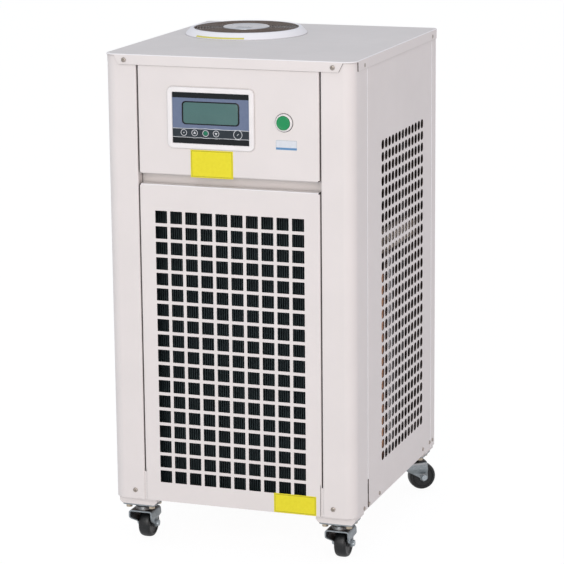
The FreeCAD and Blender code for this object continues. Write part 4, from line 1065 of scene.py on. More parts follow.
@dataclass(frozen=True)
class Casing:
    """Folded steel casing: lid, corner columns, panels and their screws.

    The fan's mouth is its middle and radius. Rear holes are a place and a radius on the
    panel, and side screws a depth and a height.
    """

    lid_half: float = 219.6
    skirt: float = 17.5
    skirt_low: float = 192.0
    corner: float = 20.0
    rear_corner: float = 9.0
    corner_play: float = 0.3
    mouth: Triple = (-84.0, 322.0, 92.5)
    column_edge: float = 161.0
    column_back: float = 17.8
    column_sides: Pair = (72.0, 450.2)
    column_return: float = 16.0
    grille_holes: HoleField = HoleField((-120.96, 44.4), (26.88, 26.58), (10, 18), (10.6, 10.6), 0.7, 2)
    grille_half: float = PANEL_HALF + 0.5
    grille_top: float = 551.5
    control_foot: float = 569.0
    flap: float = 18.0
    side_ends: Pair = (72.8, 449.4)
    side_fold: float = 3.0
    side_slots: HoleField = HoleField((-104.4, 69.1), (19.3, 20.8), (13, 27), (7.4, 8.0), 6.0, 3)
    rear_holes: tuple[Triple, ...] = (
        (-110.0, 250.0, 12.0), (-110.0, 170.0, 12.0), (60.0, 40.0, 11.0), (120.0, 640.0, 21.0),
        (-110.0, 640.0, 10.0))
    rear_screws: tuple[float, ...] = (60.0, 410.0, 750.0)
    side_screws: tuple[Pair, ...] = (
        (50.8, 5.7), (77.6, 6.1), (136.9, 7.2), (400.9, 10.9), (444.0, 12.0), (462.0, 12.0))
    skirt_screws: tuple[float, ...] = (55.0, 450.0)
    # Place and half size of the black patches that are painted shade for the seams' relief slits
    relief: Pair = (70.6, 35.0)
    slit_shade_half: Pair = (0.9, 9.0)

    def sheet(self, name: str, draft: Draft, coat: Finish, node: str, body: str = "cabinet") -> None:
        """Make a sheet that is painted outside, with dark painted shade inside and at its cut edges.

        Args:
            name: Name of the piece.
            draft: Its outer face.
            coat: Finish of the outer face.
            node: Node that it stands for.
            body: Body that it moves with.
        """
        draft.piece(name, [coat, INNER_SHADE], body, "cream_paint", (node,), wall=SHEET, closed=False)

    def lid(self) -> None:
        """Top sheet from the fan's mouth to its rounded edge and down the skirts.

        Rows go from the mouth's circle over the flat to the outline drawn in by the fold
        radius, round the quarter arc, and down to the skirt's depth. The depth follows the
        outline: a trapezoid on the front and rear, a straight band on the sides, and only
        the fold at the round corners.
        """
        half, near, step = self.lid_half, 0.05, 0.4
        ends = ((self.rear_corner, slice(0, 2)), (self.corner, slice(2, 4)))
        corner, inner = (np.concatenate([
            rounded_rectangle(half - inset, DEPTH / 2 - inset, radius - inset, 8).reshape(4, 9, 2)[part]
            for radius, part in ends]) + [0, DEPTH / 2] for inset in (0.0, FOLD))
        stops = np.linspace(-self.skirt_low, self.skirt_low, 22)
        front_end, rear_end = half - self.corner - near, half - self.rear_corner - near
        front_x, rear_x = (np.concatenate([[-end], stops, [end]]) for end in (front_end, rear_end))
        rear_y = DEPTH - self.rear_corner
        side_y = np.concatenate([[self.corner + near, self.corner + step], np.linspace(44.0, 440.0, 20),
                                 [rear_y - step, rear_y - near]])
        right = np.stack([np.full_like(side_y, half), side_y], axis=-1)
        rear = np.stack([-rear_x, np.full_like(rear_x, DEPTH)], axis=-1)
        left = np.stack([np.full_like(side_y, -half), side_y[::-1]], axis=-1)
        front = np.stack([front_x, np.zeros_like(front_x)], axis=-1)
        outline = np.concatenate([corner[0], rear, corner[1], left, corner[2], front, corner[3], right])
        inner_outline = np.concatenate([inner[0], rear - [0, FOLD], inner[1], left + [FOLD, 0], inner[2],
                                        front + [0, FOLD], inner[3], right - [FOLD, 0]])
        outward = (outline - inner_outline) / FOLD
        x, y = outline.T
        on_end = (y < 0.01) | (y > DEPTH - 0.01)
        trapezoid = np.interp(np.abs(x), [self.skirt_low, front_end], [self.skirt, FOLD])
        on_side = (np.abs(x) > half - 0.01) & (y > self.corner + 0.3) & (y < rear_y - 0.3)
        deep = np.where(on_side, self.skirt, np.where(on_end, trapezoid, FOLD))
        bearing = np.arctan2(y - self.mouth[1], x - self.mouth[0])
        mouth_x, mouth_y = polar(self.mouth[2], bearing)
        rows = [np.column_stack([mouth_x + self.mouth[0], mouth_y + self.mouth[1], np.full_like(x, HEIGHT)])]
        bend = [(FOLD * math.sin(a), FOLD * (1 - math.cos(a))) for a in np.linspace(0, math.pi / 2, 7)]
        for reach, drop in [(-1.5, 0.0)] + bend:
            edge = inner_outline + outward * reach
            rows.append(np.column_stack([edge, np.full_like(x, HEIGHT - drop)]))
        rows.append(np.column_stack([outline, HEIGHT - deep]))
        draft = Draft()
        draft.grid(np.stack(rows)[:, ::-1][::-1], wrap_columns=True)
        self.sheet("lid_sheet", draft, CREAM, "lid")

    def columns(self) -> None:
        """Two front and two rear corner columns."""
        edge, back, (side_front, side_rear) = self.column_edge, self.column_back, self.column_sides
        inward = SKIN_HALF - self.column_return
        front = ((edge, back), (edge, SKIN), (SKIN_HALF, SKIN), (SKIN_HALF, side_front), (inward, side_front))
        rear = ((inward, side_rear), (SKIN_HALF, side_rear), (SKIN_HALF, SKIN_REAR), (edge, SKIN_REAR),
                (edge, DEPTH - back))
        for end, right, corner, coat in (("front", front, self.corner, CREAM),
                                         ("rear", rear, self.rear_corner, CREAM_FRONT_HIGHLIGHT)):
            left = tuple((-x, y) for x, y in reversed(right))
            for side, corners in (("right", right), ("left", left)):
                name = f"{end}_column_{side}"
                draft = Column(corners, (FOLD, corner - self.corner_play, FOLD)).draft()
                self.sheet(name + "_sheet", draft, coat, name)

    def grille_panel(self) -> None:
        """Lower front panel with its field of square holes; it pulls straight off."""
        holes = self.grille_holes
        panel = FoldedSheet(Seat((0, SKIN, 0), Face.FRONT), self.grille_half, 0.0, self.grille_top,
                            high_flap=self.flap, notch=TRAY_TOP, notch_line=holes.lines(1)[1],
                            lines_u=holes.lines(0), lines_v=holes.lines(1), openings=holes.openings())
        self.sheet("grille_sheet", panel.draft(), CREAM, "front_grille_panel", "front_grille")

    def control_panel(self) -> None:
        """Upper front panel with the openings behind the controller and the button."""
        openings = (Opening(-29.0, 666.0, 64.0, 38.5, 1.0), round_opening(98.3, 664.7, 11.2))
        panel = FoldedSheet(Seat((0, SKIN, 0), Face.FRONT), PANEL_HALF, self.control_foot, PANEL_TOP,
                            low_flap=self.flap, lines_u=(-100.0, 45.0, 80.0, 118.0), lines_v=(610.0, 720.0),
                            openings=openings)
        self.sheet("control_sheet", panel.draft(), CREAM, "control_panel")

    def side_panels(self) -> None:
        """Right side panel with its 13 by 27 slots, and the plain left one."""
        slots = self.side_slots
        middle, half = sum(self.side_ends) / 2, (self.side_ends[1] - self.side_ends[0]) / 2
        right = FoldedSheet(Seat((SKIN_HALF, middle, 0), Face.RIGHT), half, 0.0, PANEL_TOP, notch=TRAY_TOP,
                            radius=self.side_fold, lines_u=slots.lines(0), lines_v=slots.lines(1),
                            openings=slots.openings())
        left = FoldedSheet(Seat((-SKIN_HALF, middle, 0), Face.LEFT), half, 0.0, PANEL_TOP, notch=TRAY_TOP,
                           radius=self.side_fold)
        for side, panel in (("right", right), ("left", left)):
            self.sheet("side_sheet_" + side, panel.draft(), CREAM_FRONT_HIGHLIGHT, "side_panel_" + side)

    def rear_panel(self) -> None:
        """Rear panel with the openings of the connections."""
        panel = FoldedSheet(Seat((0, SKIN_REAR, 0), Face.REAR), PANEL_HALF, 0.0, PANEL_TOP, notch=TRAY_TOP,
                            lines_u=(-130.0, -90.0, 40.0, 80.0, 90.0, 150.0),
                            lines_v=(20.0, 60.0, 150.0, 190.0, 230.0, 270.0, 610.0, 670.0),
                            openings=tuple(round_opening(*hole) for hole in self.rear_holes))
        self.sheet("rear_sheet", panel.draft(), CREAM, "rear_panel")

    def screws(self) -> None:
        """Screws of the casing, as the photograph shows them and alike on the hidden sides."""
        plain, low, flush = Screw(), Screw(3.4, 1.6), Screw(3.6, 0.4)
        seats = [(Seat((side * x, y, z), face), plain)
                 for x, y, z, face in ((179.0, SKIN, 15.0, Face.FRONT), (182.0, 0.0, 758.0, Face.FRONT),
                                       (182.0, DEPTH, 758.0, Face.REAR)) for side in (-1, 1)]
        seats += [(Seat((side * 150.0, SKIN_REAR, z), Face.REAR), plain)
                  for side in (-1, 1) for z in self.rear_screws]
        for side, face in ((1, Face.RIGHT), (-1, Face.LEFT)):
            seats += [(Seat((side * SKIN_HALF, y, z), face), low) for y, z in self.side_screws]
            seats += [(Seat((side * self.lid_half, y, 756.5), face), flush) for y in self.skirt_screws]
        draft = Draft()
        for number, (seat, screw) in enumerate(seats):
            screw.add(draft, seat, 0.4 + number)
        draft.piece("casing_screws", [NICKEL], "cabinet", "zinc")

    def slit_shades(self) -> None:
        """Black patches beside the side seams, low on the front columns: painted shade standing for the
        relief slits there.
        """
        draft = Draft()
        for side, face in ((1, Face.RIGHT), (-1, Face.LEFT)):
            draft.patch(Seat((side * SKIN_HALF, *self.relief), face), self.slit_shade_half, 0.8,
                        [(0.0, -0.02), (0.0, 0.03)], 3)
        draft.piece("seam_reliefs", [BLACK_ABS], "cabinet", "black_plastic")

    def build(self) -> None:
        """Build every piece of the casing."""
        self.lid()
        self.columns()
        self.grille_panel()
        self.control_panel()
        self.side_panels()
        self.rear_panel()
        self.screws()
        self.slit_shades()


# Fan on the lid
@dataclass(frozen=True)
class FanTop:
    """Raised ring, wire guard and centre disc over the fan."""

    centre: Pair = (-84.0, 322.0)
    ring: float = 107.0
    shoulder: float = 98.0
    bore: float = 92.5
    height: float = 11.5
    wire: float = 1.0
    wire_rings: tuple[float, float, int] = (45.0, 91.2, 10)
    spokes: int = 8
    spoke_start: float = 34.0
    disc: float = 41.0
    strip: Pair = (104.6, 106.8)

    def seat(self, level: float) -> Seat:
        """Seat on the fan's axis at a level over the lid."""
        return Seat((*self.centre, HEIGHT + level), Face.TOP)

    def build(self) -> None:
        """Build the ring, the guard, the disc and the label on the flank."""
        draft = Draft()
        corners = [(self.bore, -SHEET), (self.bore, self.height), (self.shoulder, self.height),
                   (self.ring, SHEET), (self.ring, 0.0), (self.bore, -SHEET)]
        draft.turn(rounded_path(corners, [1.0, 2.0, 0.5, 0.0], 4), self.seat(0.0), 96, closed=True)
        draft.piece("fan_ring_cone", [RING_WHITE], "cabinet", "cream_paint", ("fan_ring",))
        self.guard()
        self.cover()
        self.label()

    def guard(self) -> None:
        """Rings of wire on spokes that end in the ring's bore."""
        draft = Draft()
        angle = round_angles(96)
        top = self.height - self.wire
        for radius in np.linspace(*self.wire_rings):
            x, y = polar(radius, angle)
            draft.tube(self.seat(top).place(x, y, 0.0), self.wire, 6, True)
        run = np.linspace(self.spoke_start, self.bore - 0.3, 8)
        for bearing in round_angles(self.spokes) + 0.2:
            x, y = polar(run, bearing)
            draft.tube(self.seat(top - 1.9 * self.wire).place(x, y, 0.0), self.wire, 6)
        draft.piece("guard_wires", [WIRE], "cabinet", "black_metal", ("fan_guard",))

    def cover(self) -> None:
        """Spun disc with a raised rim round a shallow dish, and a bare label on it."""
        draft = Draft()
        corners = [(0.0, 0.7), (31.0, 0.7), (33.0, 1.5), (39.0, 1.5), (self.disc, 0.4), (self.disc, -2.0),
                   (0.0, -2.0)]
        draft.turn(rounded_path(corners, [1.0, 1.0, 1.0, 0.8, 0.3], 3), self.seat(self.height), 72)
        draft.piece("guard_cover", [SPUN], "cabinet", "bright_disc", ("guard_disc",))
        seat = Seat((self.centre[0] + 2.0, self.centre[1] - 16.0, HEIGHT + self.height + 0.7), Face.TOP)
        label = Draft()
        label.patch(seat, (14.0, 7.0), 1.0, [(0.0, -0.05), (0.0, 0.12), (0.1, 0.15)], 3)
        label.piece("cover_label", [VINYL_GREY], "cabinet", "grey_plastic")

    def label(self) -> None:
        """Thin yellow strip bent round the flank: a ruled surface between two radii and two angles."""
        angle = np.radians(np.linspace(-125.0, -72.0, 25))[None]
        share = np.array([0.0, 0.04, 0.96, 1.0])[:, None]
        radius = self.strip[0] + share * (self.strip[1] - self.strip[0])
        slope = (self.height - SHEET) / (self.ring - self.shoulder)
        x, y = polar(radius, angle)
        top = self.seat(0.0).place(x, y, SHEET + (self.ring - radius) * slope + 0.15)
        draft = Draft()
        draft.grid(top)
        draft.piece("ring_label", [VINYL_STRAW], "cabinet", "face_film", wall=0.12, closed=False)


# Controller
@dataclass(frozen=True)
class Controller:
    """Panel controller: white frame, printed face and display window."""

    seat: Seat = Seat((-29.0, SKIN, 666.0), Face.FRONT)
    half: Pair = (76.0, 51.0)
    radius: float = 9.0
    proud: float = 4.0
    rim: float = 8.5
    film: float = 2.0
    display_rise: float = 8.5
    strip_low: float = -32.0
    strip_high: float = -18.0
    band_high: float = 33.3
    surround: Pair = (50.7, 19.4)
    window: Pair = (48.0, 17.4)
    key_row: float = -24.6
    small_keys: tuple[float, ...] = (-47.6, -28.5, -9.2, 9.3)
    large_key: float = 47.5

    def build(self) -> None:
        """Build the frame, the face with its prints and the display."""
        self.frame()
        self.face()
        self.display()
        self.keys()

    def frame(self) -> None:
        """Frame: nested rounded rectangles over its outer edge, its flat and down its inner edge."""
        outer = [(0.0, 0.0), (0.0, 2.6), (0.25, 3.3), (0.8, 3.8), (1.6, self.proud), (2.6, self.proud)]
        inner = [(self.rim - 1.6, self.proud), (self.rim - 0.8, self.proud - 0.1),
                 (self.rim - 0.25, self.proud - 0.5), (self.rim, self.proud - 1.1), (self.rim, 0.0)]
        rows = [(self.half[0] - inset, self.half[1] - inset,
                 np.interp(inset, [0.0, self.rim], [self.radius, 1.0]), level)
                for inset, level in outer + inner]
        draft = Draft()
        draft.grid(self.seat.rings(rows, 8), wrap_rows=True, wrap_columns=True)
        draft.piece("controller_frame", [WHITE_ABS], "cabinet", "white_plastic", ("controller_bezel",))

    def face(self) -> None:
        """Printed face in bands: rows across the film at each band's edge, with the wall below."""
        half_u, half_v = self.half[0] - self.rim - 0.2, self.half[1] - self.rim - 0.2
        edges = [-half_v, -half_v + 0.4, self.strip_low, self.strip_high, self.band_high, half_v - 0.4,
                 half_v]
        inks = np.array([0, 0, 2, 1, 0, 0])
        narrow = np.array([0.4, 0.0, 0.0, 0.0, 0.0, 0.0, 0.4])
        u = np.outer(half_u - narrow, [-1.0, 1.0])
        v = np.repeat(np.array(edges)[:, None], 2, axis=1)
        draft = Draft()
        draft.grid(self.seat.place(u, v, self.film).transpose(1, 0, 2), inks[None, :])
        rim_u, rim_v = (np.concatenate([side[:, 1], side[::-1, 0]]) for side in (u, v))
        ring = [self.seat.place(rim_u, rim_v, level) for level in (0.0, self.film)]
        draft.grid(np.stack(ring), wrap_columns=True)
        draft.lid(ring[0][::-1])
        draft.piece("controller_film", [INK_BLACK, INK_SLATE, INK_CHARCOAL], "cabinet", "face_film",
                    ("controller_face",))

    def display(self) -> None:
        """Dark printed surround and the glossy pane that stands over it."""
        seat = self.on_film(0.0, self.display_rise)
        edge = Draft()
        edge.patch(seat, self.surround, 6.5, [(0.0, -0.05), (0.0, 0.1), (0.1, 0.14)], 8)
        edge.piece("display_surround", [INK_BLACK], "cabinet", "face_film")
        pane = Draft()
        pane.patch(seat, self.window, 5.0, [(0.0, 0.0), (0.0, 0.35), (0.12, 0.52), (0.4, 0.6)], 8)
        pane.piece("display_window", [DISPLAY], "cabinet", "lcd_glass", ("lcd_window",))

    def on_film(self, u: float, v: float) -> Seat:
        """Seat on the printed film, at a distance from the controller's middle."""
        return Seat((self.seat.origin[0] + u, SKIN - self.film, self.seat.origin[2] + v), Face.FRONT)

    def ribbon(self, draft: Draft, u: np.ndarray, v: np.ndarray, width: float, closed: bool = False) -> None:
        """Raised printed line: a path on the film, widened to both sides across its direction.

        Args:
            draft: Draft to add to.
            u: Path along the film.
            v: Path up the film.
            width: Width of the line.
            closed: Join its end to its start.
        """
        path = np.stack([u, v], axis=-1)
        ahead = np.roll(path, -1, axis=0) - np.roll(path, 1, axis=0) if closed else np.gradient(path, axis=0)
        ahead /= np.linalg.norm(ahead, axis=1, keepdims=True)
        across = np.stack([-ahead[:, 1], ahead[:, 0]], axis=-1) * width / 2
        low, high = self.film - 0.02, self.film + 0.06
        section = [(1.0, low), (1.0, high), (-1.0, high), (-1.0, low)]
        rows = np.stack([self.seat.place(*(path + across * side).T, level) for side, level in section])
        draft.grid(rows.transpose(1, 0, 2), 0, closed, True)
        if not closed:
            draft.lid(rows[:, 0])
            draft.lid(rows[::-1, -1])

    def keys(self) -> None:
        """Printed rings of the five keys with their marks, and the wavy lines along the strip."""
        draft = Draft()
        angle = round_angles(40)
        plus, up, green, down = self.small_keys
        for u, radius in [(key, 5.0) for key in self.small_keys] + [(self.large_key, 7.4)]:
            x, y = polar(radius, angle)
            self.ribbon(draft, u + x, self.key_row + y, 0.9, True)
        corner = np.radians([90.0, 210.0, 330.0])
        for u, way in ((up, 1.0), (down, -1.0)):
            x, y = polar(2.9, corner)
            base, top = (self.seat.place(u + x, self.key_row + way * y, self.film + level)
                         for level in (-0.02, 0.06))
            draft.grid(np.stack([base, top]), wrap_columns=True)
            draft.lid(top)
            draft.lid(base[::-1])
        for u, top, foot, count, finish in ((green, 3.6, 3.8, 32, 1), (plus, 0.9, 1.0, 16, 0)):
            profile = [[0.0, 0.08], [top, 0.08], [foot, -0.02], [0.0, -0.02]]
            draft.turn(np.array(profile), self.on_film(u, self.key_row), count, finish)
        slash = np.linspace(-1.6, 1.6, 4)
        self.ribbon(draft, self.large_key + slash, self.key_row + slash, 0.8)
        run = np.linspace(-67.0, 67.0, 160)
        bumps = sum(np.exp(-((run - u) / 5.5) ** 2) for u in (up, green, down, self.large_key))
        self.ribbon(draft, run, self.strip_high + 0.3 + 0.9 * bumps, 0.8)
        self.ribbon(draft, run, self.strip_low - 0.2 - 0.6 * bumps, 0.8)
        draft.piece("controller_keys", [INK_WHITE, INK_GREEN], "cabinet", "grey_plastic")


@dataclass(frozen=True)
class PushButton:
    """Push button: white collar with its barrel, and the green cap on its stem."""

    place: Pair = (98.3, 664.7)
    travel: float = 3.0
    fit: float = 0.3

    def build(self) -> None:
        """Build the collar and the cap."""
        seat = Seat((self.place[0], SKIN, self.place[1]), Face.FRONT)
        draft = Draft()
        corners = [(8.8, -24.0), (8.8, 0.0), (11.8, 0.0), (11.8, 4.5), (13.9, 4.5), (14.8, 0.0), (11.0, 0.0),
                   (11.0, -24.0), (8.8, -24.0)]
        draft.turn(rounded_path(corners, [0.0, 0.0, 0.5, 1.6, 0.0, 0.0, 0.0], 4), seat, 64, closed=True)
        draft.piece("button_collar", [WHITE_ABS], "cabinet", "white_plastic", ("button_bezel",))
        gasket = Draft()
        corners = [(14.7, 0.0), (14.7, 0.5), (15.5, 0.4), (15.5, 0.0), (14.7, 0.0)]
        gasket.turn(np.array(corners), seat, 64, closed=True)
        gasket.piece("button_gasket", [RUBBER], "cabinet", "black_plastic")
        cap = Draft()
        corners = [(0.0, 5.9), (7.0, 6.1), (9.6, 6.5), (11.5, 6.5), (11.5, self.travel + self.fit),
                   (8.5, self.travel + self.fit), (8.5, -20.7), (0.0, -20.7)]
        cap.turn(rounded_path(corners, [6.0, 3.0, 1.1, 0.0, 0.0, 0.0], 4), seat, 64)
        cap.piece("button_push", [GREEN_CAP], "button", "button_green", ("button_cap",))


@dataclass(frozen=True)
class Label:
    """Bare label: a ground with a frame line, stuck on a face."""

    name: str
    seat: Seat
    half: Pair
    body: str
    ground: Finish
    line: Finish
    inset: float = 1.6
    width: float = 0.8
    thick: float = 0.16

    def build(self) -> None:
        """Nested rectangles: edge, margin, frame line and field, with a flat back."""
        top, field = self.thick, self.inset + self.width
        profile = [(0.0, -0.05), (0.0, top - 0.04), (0.08, top), (self.inset, top), (field, top)]
        rows = [(self.half[0] - inset, self.half[1] - inset, max(1.0 - inset, 0.05), level)
                for inset, level in profile]
        surface = self.seat.rings(rows, 3)[:, ::-1]
        draft = Draft()
        draft.grid(surface, np.array([0, 0, 0, 1])[:, None], wrap_columns=True)
        draft.lid(self.seat.rings([(self.half[0] - field, self.half[1] - field, 0.05, top)], 3)[0])
        draft.lid(surface[0])
        draft.piece(self.name, [self.ground, self.line], self.body, "face_film")


@dataclass(frozen=True)
class Labels:
    """Two bare yellow labels and the pale badge with its blue foot."""

    panel_middle: Pair = (-28.75, 589.75)
    panel_half: Pair = (37.5, 23.2)
    grille_middle: Pair = (111.75, 17.4)
    grille_half: Pair = (37.7, 16.9)
    badge_middle: Pair = (102.0, 627.9)
    badge_half: Pair = (18.3, 8.0)
    foot_half: Pair = (18.0, 1.8)
    foot_drop: float = 6.0
    badge_thick: float = 0.16

    def build(self) -> None:
        """Build the labels and the badge."""
        panel, grille, badge = (Seat((x, SKIN, z), Face.FRONT) for x, z in (
            self.panel_middle, self.grille_middle, self.badge_middle))
        Label("panel_label", panel, self.panel_half, "cabinet", VINYL_YELLOW, VINYL_OCHRE).build()
        Label("grille_label", grille, self.grille_half, "front_grille", VINYL_YELLOW, VINYL_OCHRE).build()
        Label("badge", badge, self.badge_half, "cabinet", VINYL_PALE, VINYL_GREY, 0.4, 0.4,
              self.badge_thick).build()
        x, z = self.badge_middle
        foot = Draft()
        foot.patch(Seat((x, SKIN - self.badge_thick, z - self.foot_drop), Face.FRONT), self.foot_half, 0.3,
                   [(0.0, -0.02), (0.0, 0.08)], 2)
        foot.piece("badge_foot", [VINYL_BLUE], "cabinet", "face_film")


# Casters
def hexagon_head(draft: Draft, seat: Seat, across: float, height: float) -> None:
    """Add a hexagon head with turned-off corners on a thin washer face.

    Args:
        draft: Draft to add to.
        seat: Middle of the head on its face.
        across: Width over flats.
        height: Height of the head.
    """
    angle = round_angles(36)[None]
    washer, corner = np.full_like(angle, across * 0.56), across / math.sqrt(3)
    limits = (corner, corner, across * 0.51)
    rows = [washer, washer] + [hexagon_radius(angle, across, limit) for limit in limits]
    levels = np.array([-0.1, 0.6, 0.6, height - 0.9, height])[:, None]
    u, v = polar(np.concatenate(rows), angle)
    surface = seat.place(u, v, levels)[::-1]
    draft.grid(surface, wrap_columns=True)
    draft.lid(surface[0])
    draft.lid(surface[-1][::-1])


@dataclass(frozen=True)
class Caster:
    """Swivel caster: plate with its race and bolts, pressed fork, axle bolt and crowned wheel.

    It is drawn about its swivel axis with the wheel's axis along x, then turned and moved.
    """

    corner: str
    x: float
    y: float
    angle: float
    plate_top: float = -14.0
    crown: float = -28.5
    axle_z: float = -60.0
    trail: float = 20.0
    plate_thick: float = 2.5
    plate_half: Pair = (30.0, 25.0)
    bolt_reach: Pair = (21.0, 15.0)
    eye: float = 8.0
    rim: float = 20.5
    tread: float = 10.5

    @property
    def offset(self) -> Triple:
        """Place of the swivel axis."""
        return (self.x, self.y, 0.0)

    def add_plate(self, draft: Draft) -> None:
        """Add the top plate, its race, the kingpin and its head.

        Args:
            draft: Draft to add to.
        """
        seat = Seat((self.x, self.y, self.plate_top - self.plate_thick), Face.UNDER)
        draft.patch(seat, self.plate_half, 5.0, [(0.0, -self.plate_thick), (0.0, -0.4), (0.4, 0.0)], 5)
        axis = Seat(self.offset, Face.TOP)
        race = [(0.0, -16.4), (17.0, -16.4), (17.0, -19.5), (15.2, -22.0), (0.0, -22.0)]
        draft.turn(rounded_path(race, [0.8, 1.5, 1.0], 4), axis, 48)
        pin = [(0.0, -21.0), (5.0, -21.0), (5.0, -31.0), (8.0, -31.0), (8.0, -33.5), (0.0, -33.5)]
        draft.turn(rounded_path(pin, [0.0, 0.0, 0.6, 1.0], 3), axis, 32)

    def add_bolts(self, draft: Draft) -> None:
        """Add four hexagon heads on washers under the plate.

        Args:
            draft: Draft to add to.
        """
        reach_x, reach_y = self.bolt_reach
        for x in (self.x - reach_x, self.x + reach_x):
            for y in (self.y - reach_y, self.y + reach_y):
                hexagon_head(draft, Seat((x, y, self.plate_top - self.plate_thick), Face.UNDER), 10.0, 6.0)

    def legs(self, path: np.ndarray) -> np.ndarray:
        """Points of the pressed sheet: each path point carried from the front edge to the back one.

        The front edge runs down to the neck, slants in to the axle and rounds it with
        y = trail -/+ sqrt(r^2 - (z - axle)^2); the back edge leans out to the axle.

        Args:
            path: Path of the section, x and z.

        Returns:
            Surface of points.
        """
        z = path[:, 1]
        round_off = np.sqrt(np.maximum(self.eye ** 2 - (z - self.axle_z) ** 2, 0.0))
        front = np.interp(z, [self.axle_z, -45.0, -40.0], [self.trail - self.eye, -15.0, -18.0])
        back = np.interp(z, [self.axle_z, self.crown], [self.trail + self.eye, 24.0])
        below = z < self.axle_z
        front = np.where(below, self.trail - round_off, front)
        back = np.where(below, self.trail + round_off, back)
        share = np.linspace(0, 1, 9)[None]
        y = front[:, None] + (back - front)[:, None] * share
        return np.stack(np.broadcast_arrays(path[:, :1], y, path[:, 1:]), axis=-1)

    def fork(self) -> None:
        """Pressed fork with its lower race, and the axle bolt through its legs."""
        half = [(-14.5, -67.99), (-14.5, -52.5), (-21.5, -42.5), (-21.5, self.crown)]
        corners = half + [(-x, z) for x, z in reversed(half)]
        path = rounded_path(corners, [4.0, 4.0, 5.0, 5.0, 4.0, 4.0], 5)
        spread = [path[:1]]
        for start, end in zip(path, path[1:]):
            parts = max(int(np.linalg.norm(end - start) // 3), 1)
            spread.append(start + (end - start) * (np.arange(1, parts + 1) / parts)[:, None])
        sheet = Draft()
        sheet.grid(self.legs(np.concatenate(spread)))
        sheet.moved(self.angle, self.offset)
        body = "swivel_" + self.corner
        sheet.piece("fork_sheet_" + self.corner, [SHADED_ZINC], body, "zinc", ("fork_" + self.corner,), wall=2.5,
                    closed=False)
        race = Draft()
        profile = rounded_path([(5.2, -22.4), (13.0, -22.4), (14.5, -28.6), (5.2, -28.6)], [1.2, 0.0], 4)
        race.turn(profile, Seat((0, 0, 0), Face.TOP), 48, closed=True)
        race.moved(self.angle, self.offset)
        race.piece("fork_race_" + self.corner, [SHADED_ZINC], body, "zinc")
        axle = Draft()
        for face, side in ((Face.RIGHT, 1), (Face.LEFT, -1)):
            hexagon_head(axle, Seat((side * 14.5, self.trail, self.axle_z), face), 10.0, 5.0)
        shank = Seat((0, self.trail, self.axle_z), Face.RIGHT)
        axle.turn(np.array([[0.0, 14.6], [3.0, 14.6], [3.0, -14.6], [0.0, -14.6]]), shank, 24)
        axle.moved(self.angle, self.offset)
        axle.piece("axle_bolt_" + self.corner, [AXLE_ZINC], body, "zinc")

    def wheel(self) -> None:
        """Crowned wheel turned about its axle: tread radius = rim + 4.5 (1 - (h / half)^2.6)^(1 / 2.6)."""
        height = self.tread * np.cos(np.linspace(0, np.pi, 25))
        crown = self.rim + 4.5 * np.maximum(1 - (np.abs(height) / self.tread) ** 2.6, 0) ** (1 / 2.6)
        tread = np.stack([crown, height], axis=-1)
        hub = [(3.06, 11.6), (7.0, 11.6), (8.6, 8.6), (17.5, 8.6), (19.0, self.tread), (self.rim, self.tread)]
        face = rounded_path(hub, [0.5, 1.0, 1.0, 0.6], 3)
        profile = np.concatenate([face[:-1], tread, (face * [1, -1])[:-1][::-1]])
        draft = Draft()
        draft.turn(profile, Seat((0, self.trail, self.axle_z), Face.RIGHT), 64, closed=True)
        draft.moved(self.angle, self.offset)
        draft.piece("wheel_tread_" + self.corner, [WHEEL_BLACK], "roller_" + self.corner, "caster_black",
                    ("wheel_" + self.corner,))


@dataclass(frozen=True)
class Casters:
    """The four casters, which stand at their own angles."""

    places: tuple[tuple[str, float, float, float], ...] = (
        ("front_left", -179.0, 38.0, 0.0), ("front_right", 179.0, 38.0, 0.0),
        ("rear_left", -179.0, 458.0, 20.0), ("rear_right", 179.0, 458.0, -55.0))

    def build(self) -> None:
        """Build the plates and bolts as grouped pieces, and each fork and wheel."""
        plates, bolts = Draft(), Draft()
        for corner, x, y, angle in self.places:
            caster = Caster(corner, x, y, angle)
            caster.add_plate(plates)
            caster.add_bolts(bolts)
            caster.fork()
            caster.wheel()
        plates.piece("caster_plates_zinc", [SHADED_ZINC], "cabinet", "zinc", ("caster_plates",))
        bolts.piece("caster_bolts_zinc", [YELLOW_ZINC], "cabinet", "zinc", ("caster_bolts",))


# Inside
@dataclass(frozen=True)
class FinPack:
    """Condenser's pack of upright fins: a square wave in plan, carried up its height.

    The fins stand 4 mm apart, about twice their real spacing, so that they show.
    """

    half: float = 165.0
    front: float = 32.0
    depth: float = 44.0
    low: float = 2.0
    high: float = 502.0
    pitch: float = 4.0
    thick: float = 0.8
    gap: float = 6.0

    def build(self) -> None:
        """Square wave x = k pitch -/+ thickness / 2 between the front and the depth of the gaps."""
        count = int(2 * self.half / self.pitch)
        middle = (np.arange(count) - (count - 1) / 2) * self.pitch
        x = middle[:, None] + np.array([-1, -1, 1, 1]) * self.thick / 2
        floor = self.front + self.gap
        y = np.broadcast_to([floor, self.front, self.front, floor], x.shape)
        plan = np.stack([x.ravel(), y.ravel()], axis=-1)
        ends = np.array([[self.half, floor], [self.half, self.front + self.depth],
                         [-self.half, self.front + self.depth], [-self.half, floor]])
        plan = np.concatenate([plan, ends])
        level = np.array([self.low, self.high])
        plans = np.broadcast_to(plan[:, None], (len(plan), 2, 2))
        surface = np.concatenate([plans, np.broadcast_to(level[None, :, None], (len(plan), 2, 1))], axis=-1)
        draft = Draft()
        draft.grid(surface, wrap_rows=True)
        draft.lid(surface[:, 1])
        draft.lid(surface[::-1, 0])
        draft.piece("fin_pack", [FIN], "cabinet", "fin_aluminium", ("condenser_core",), sharp=20.0)


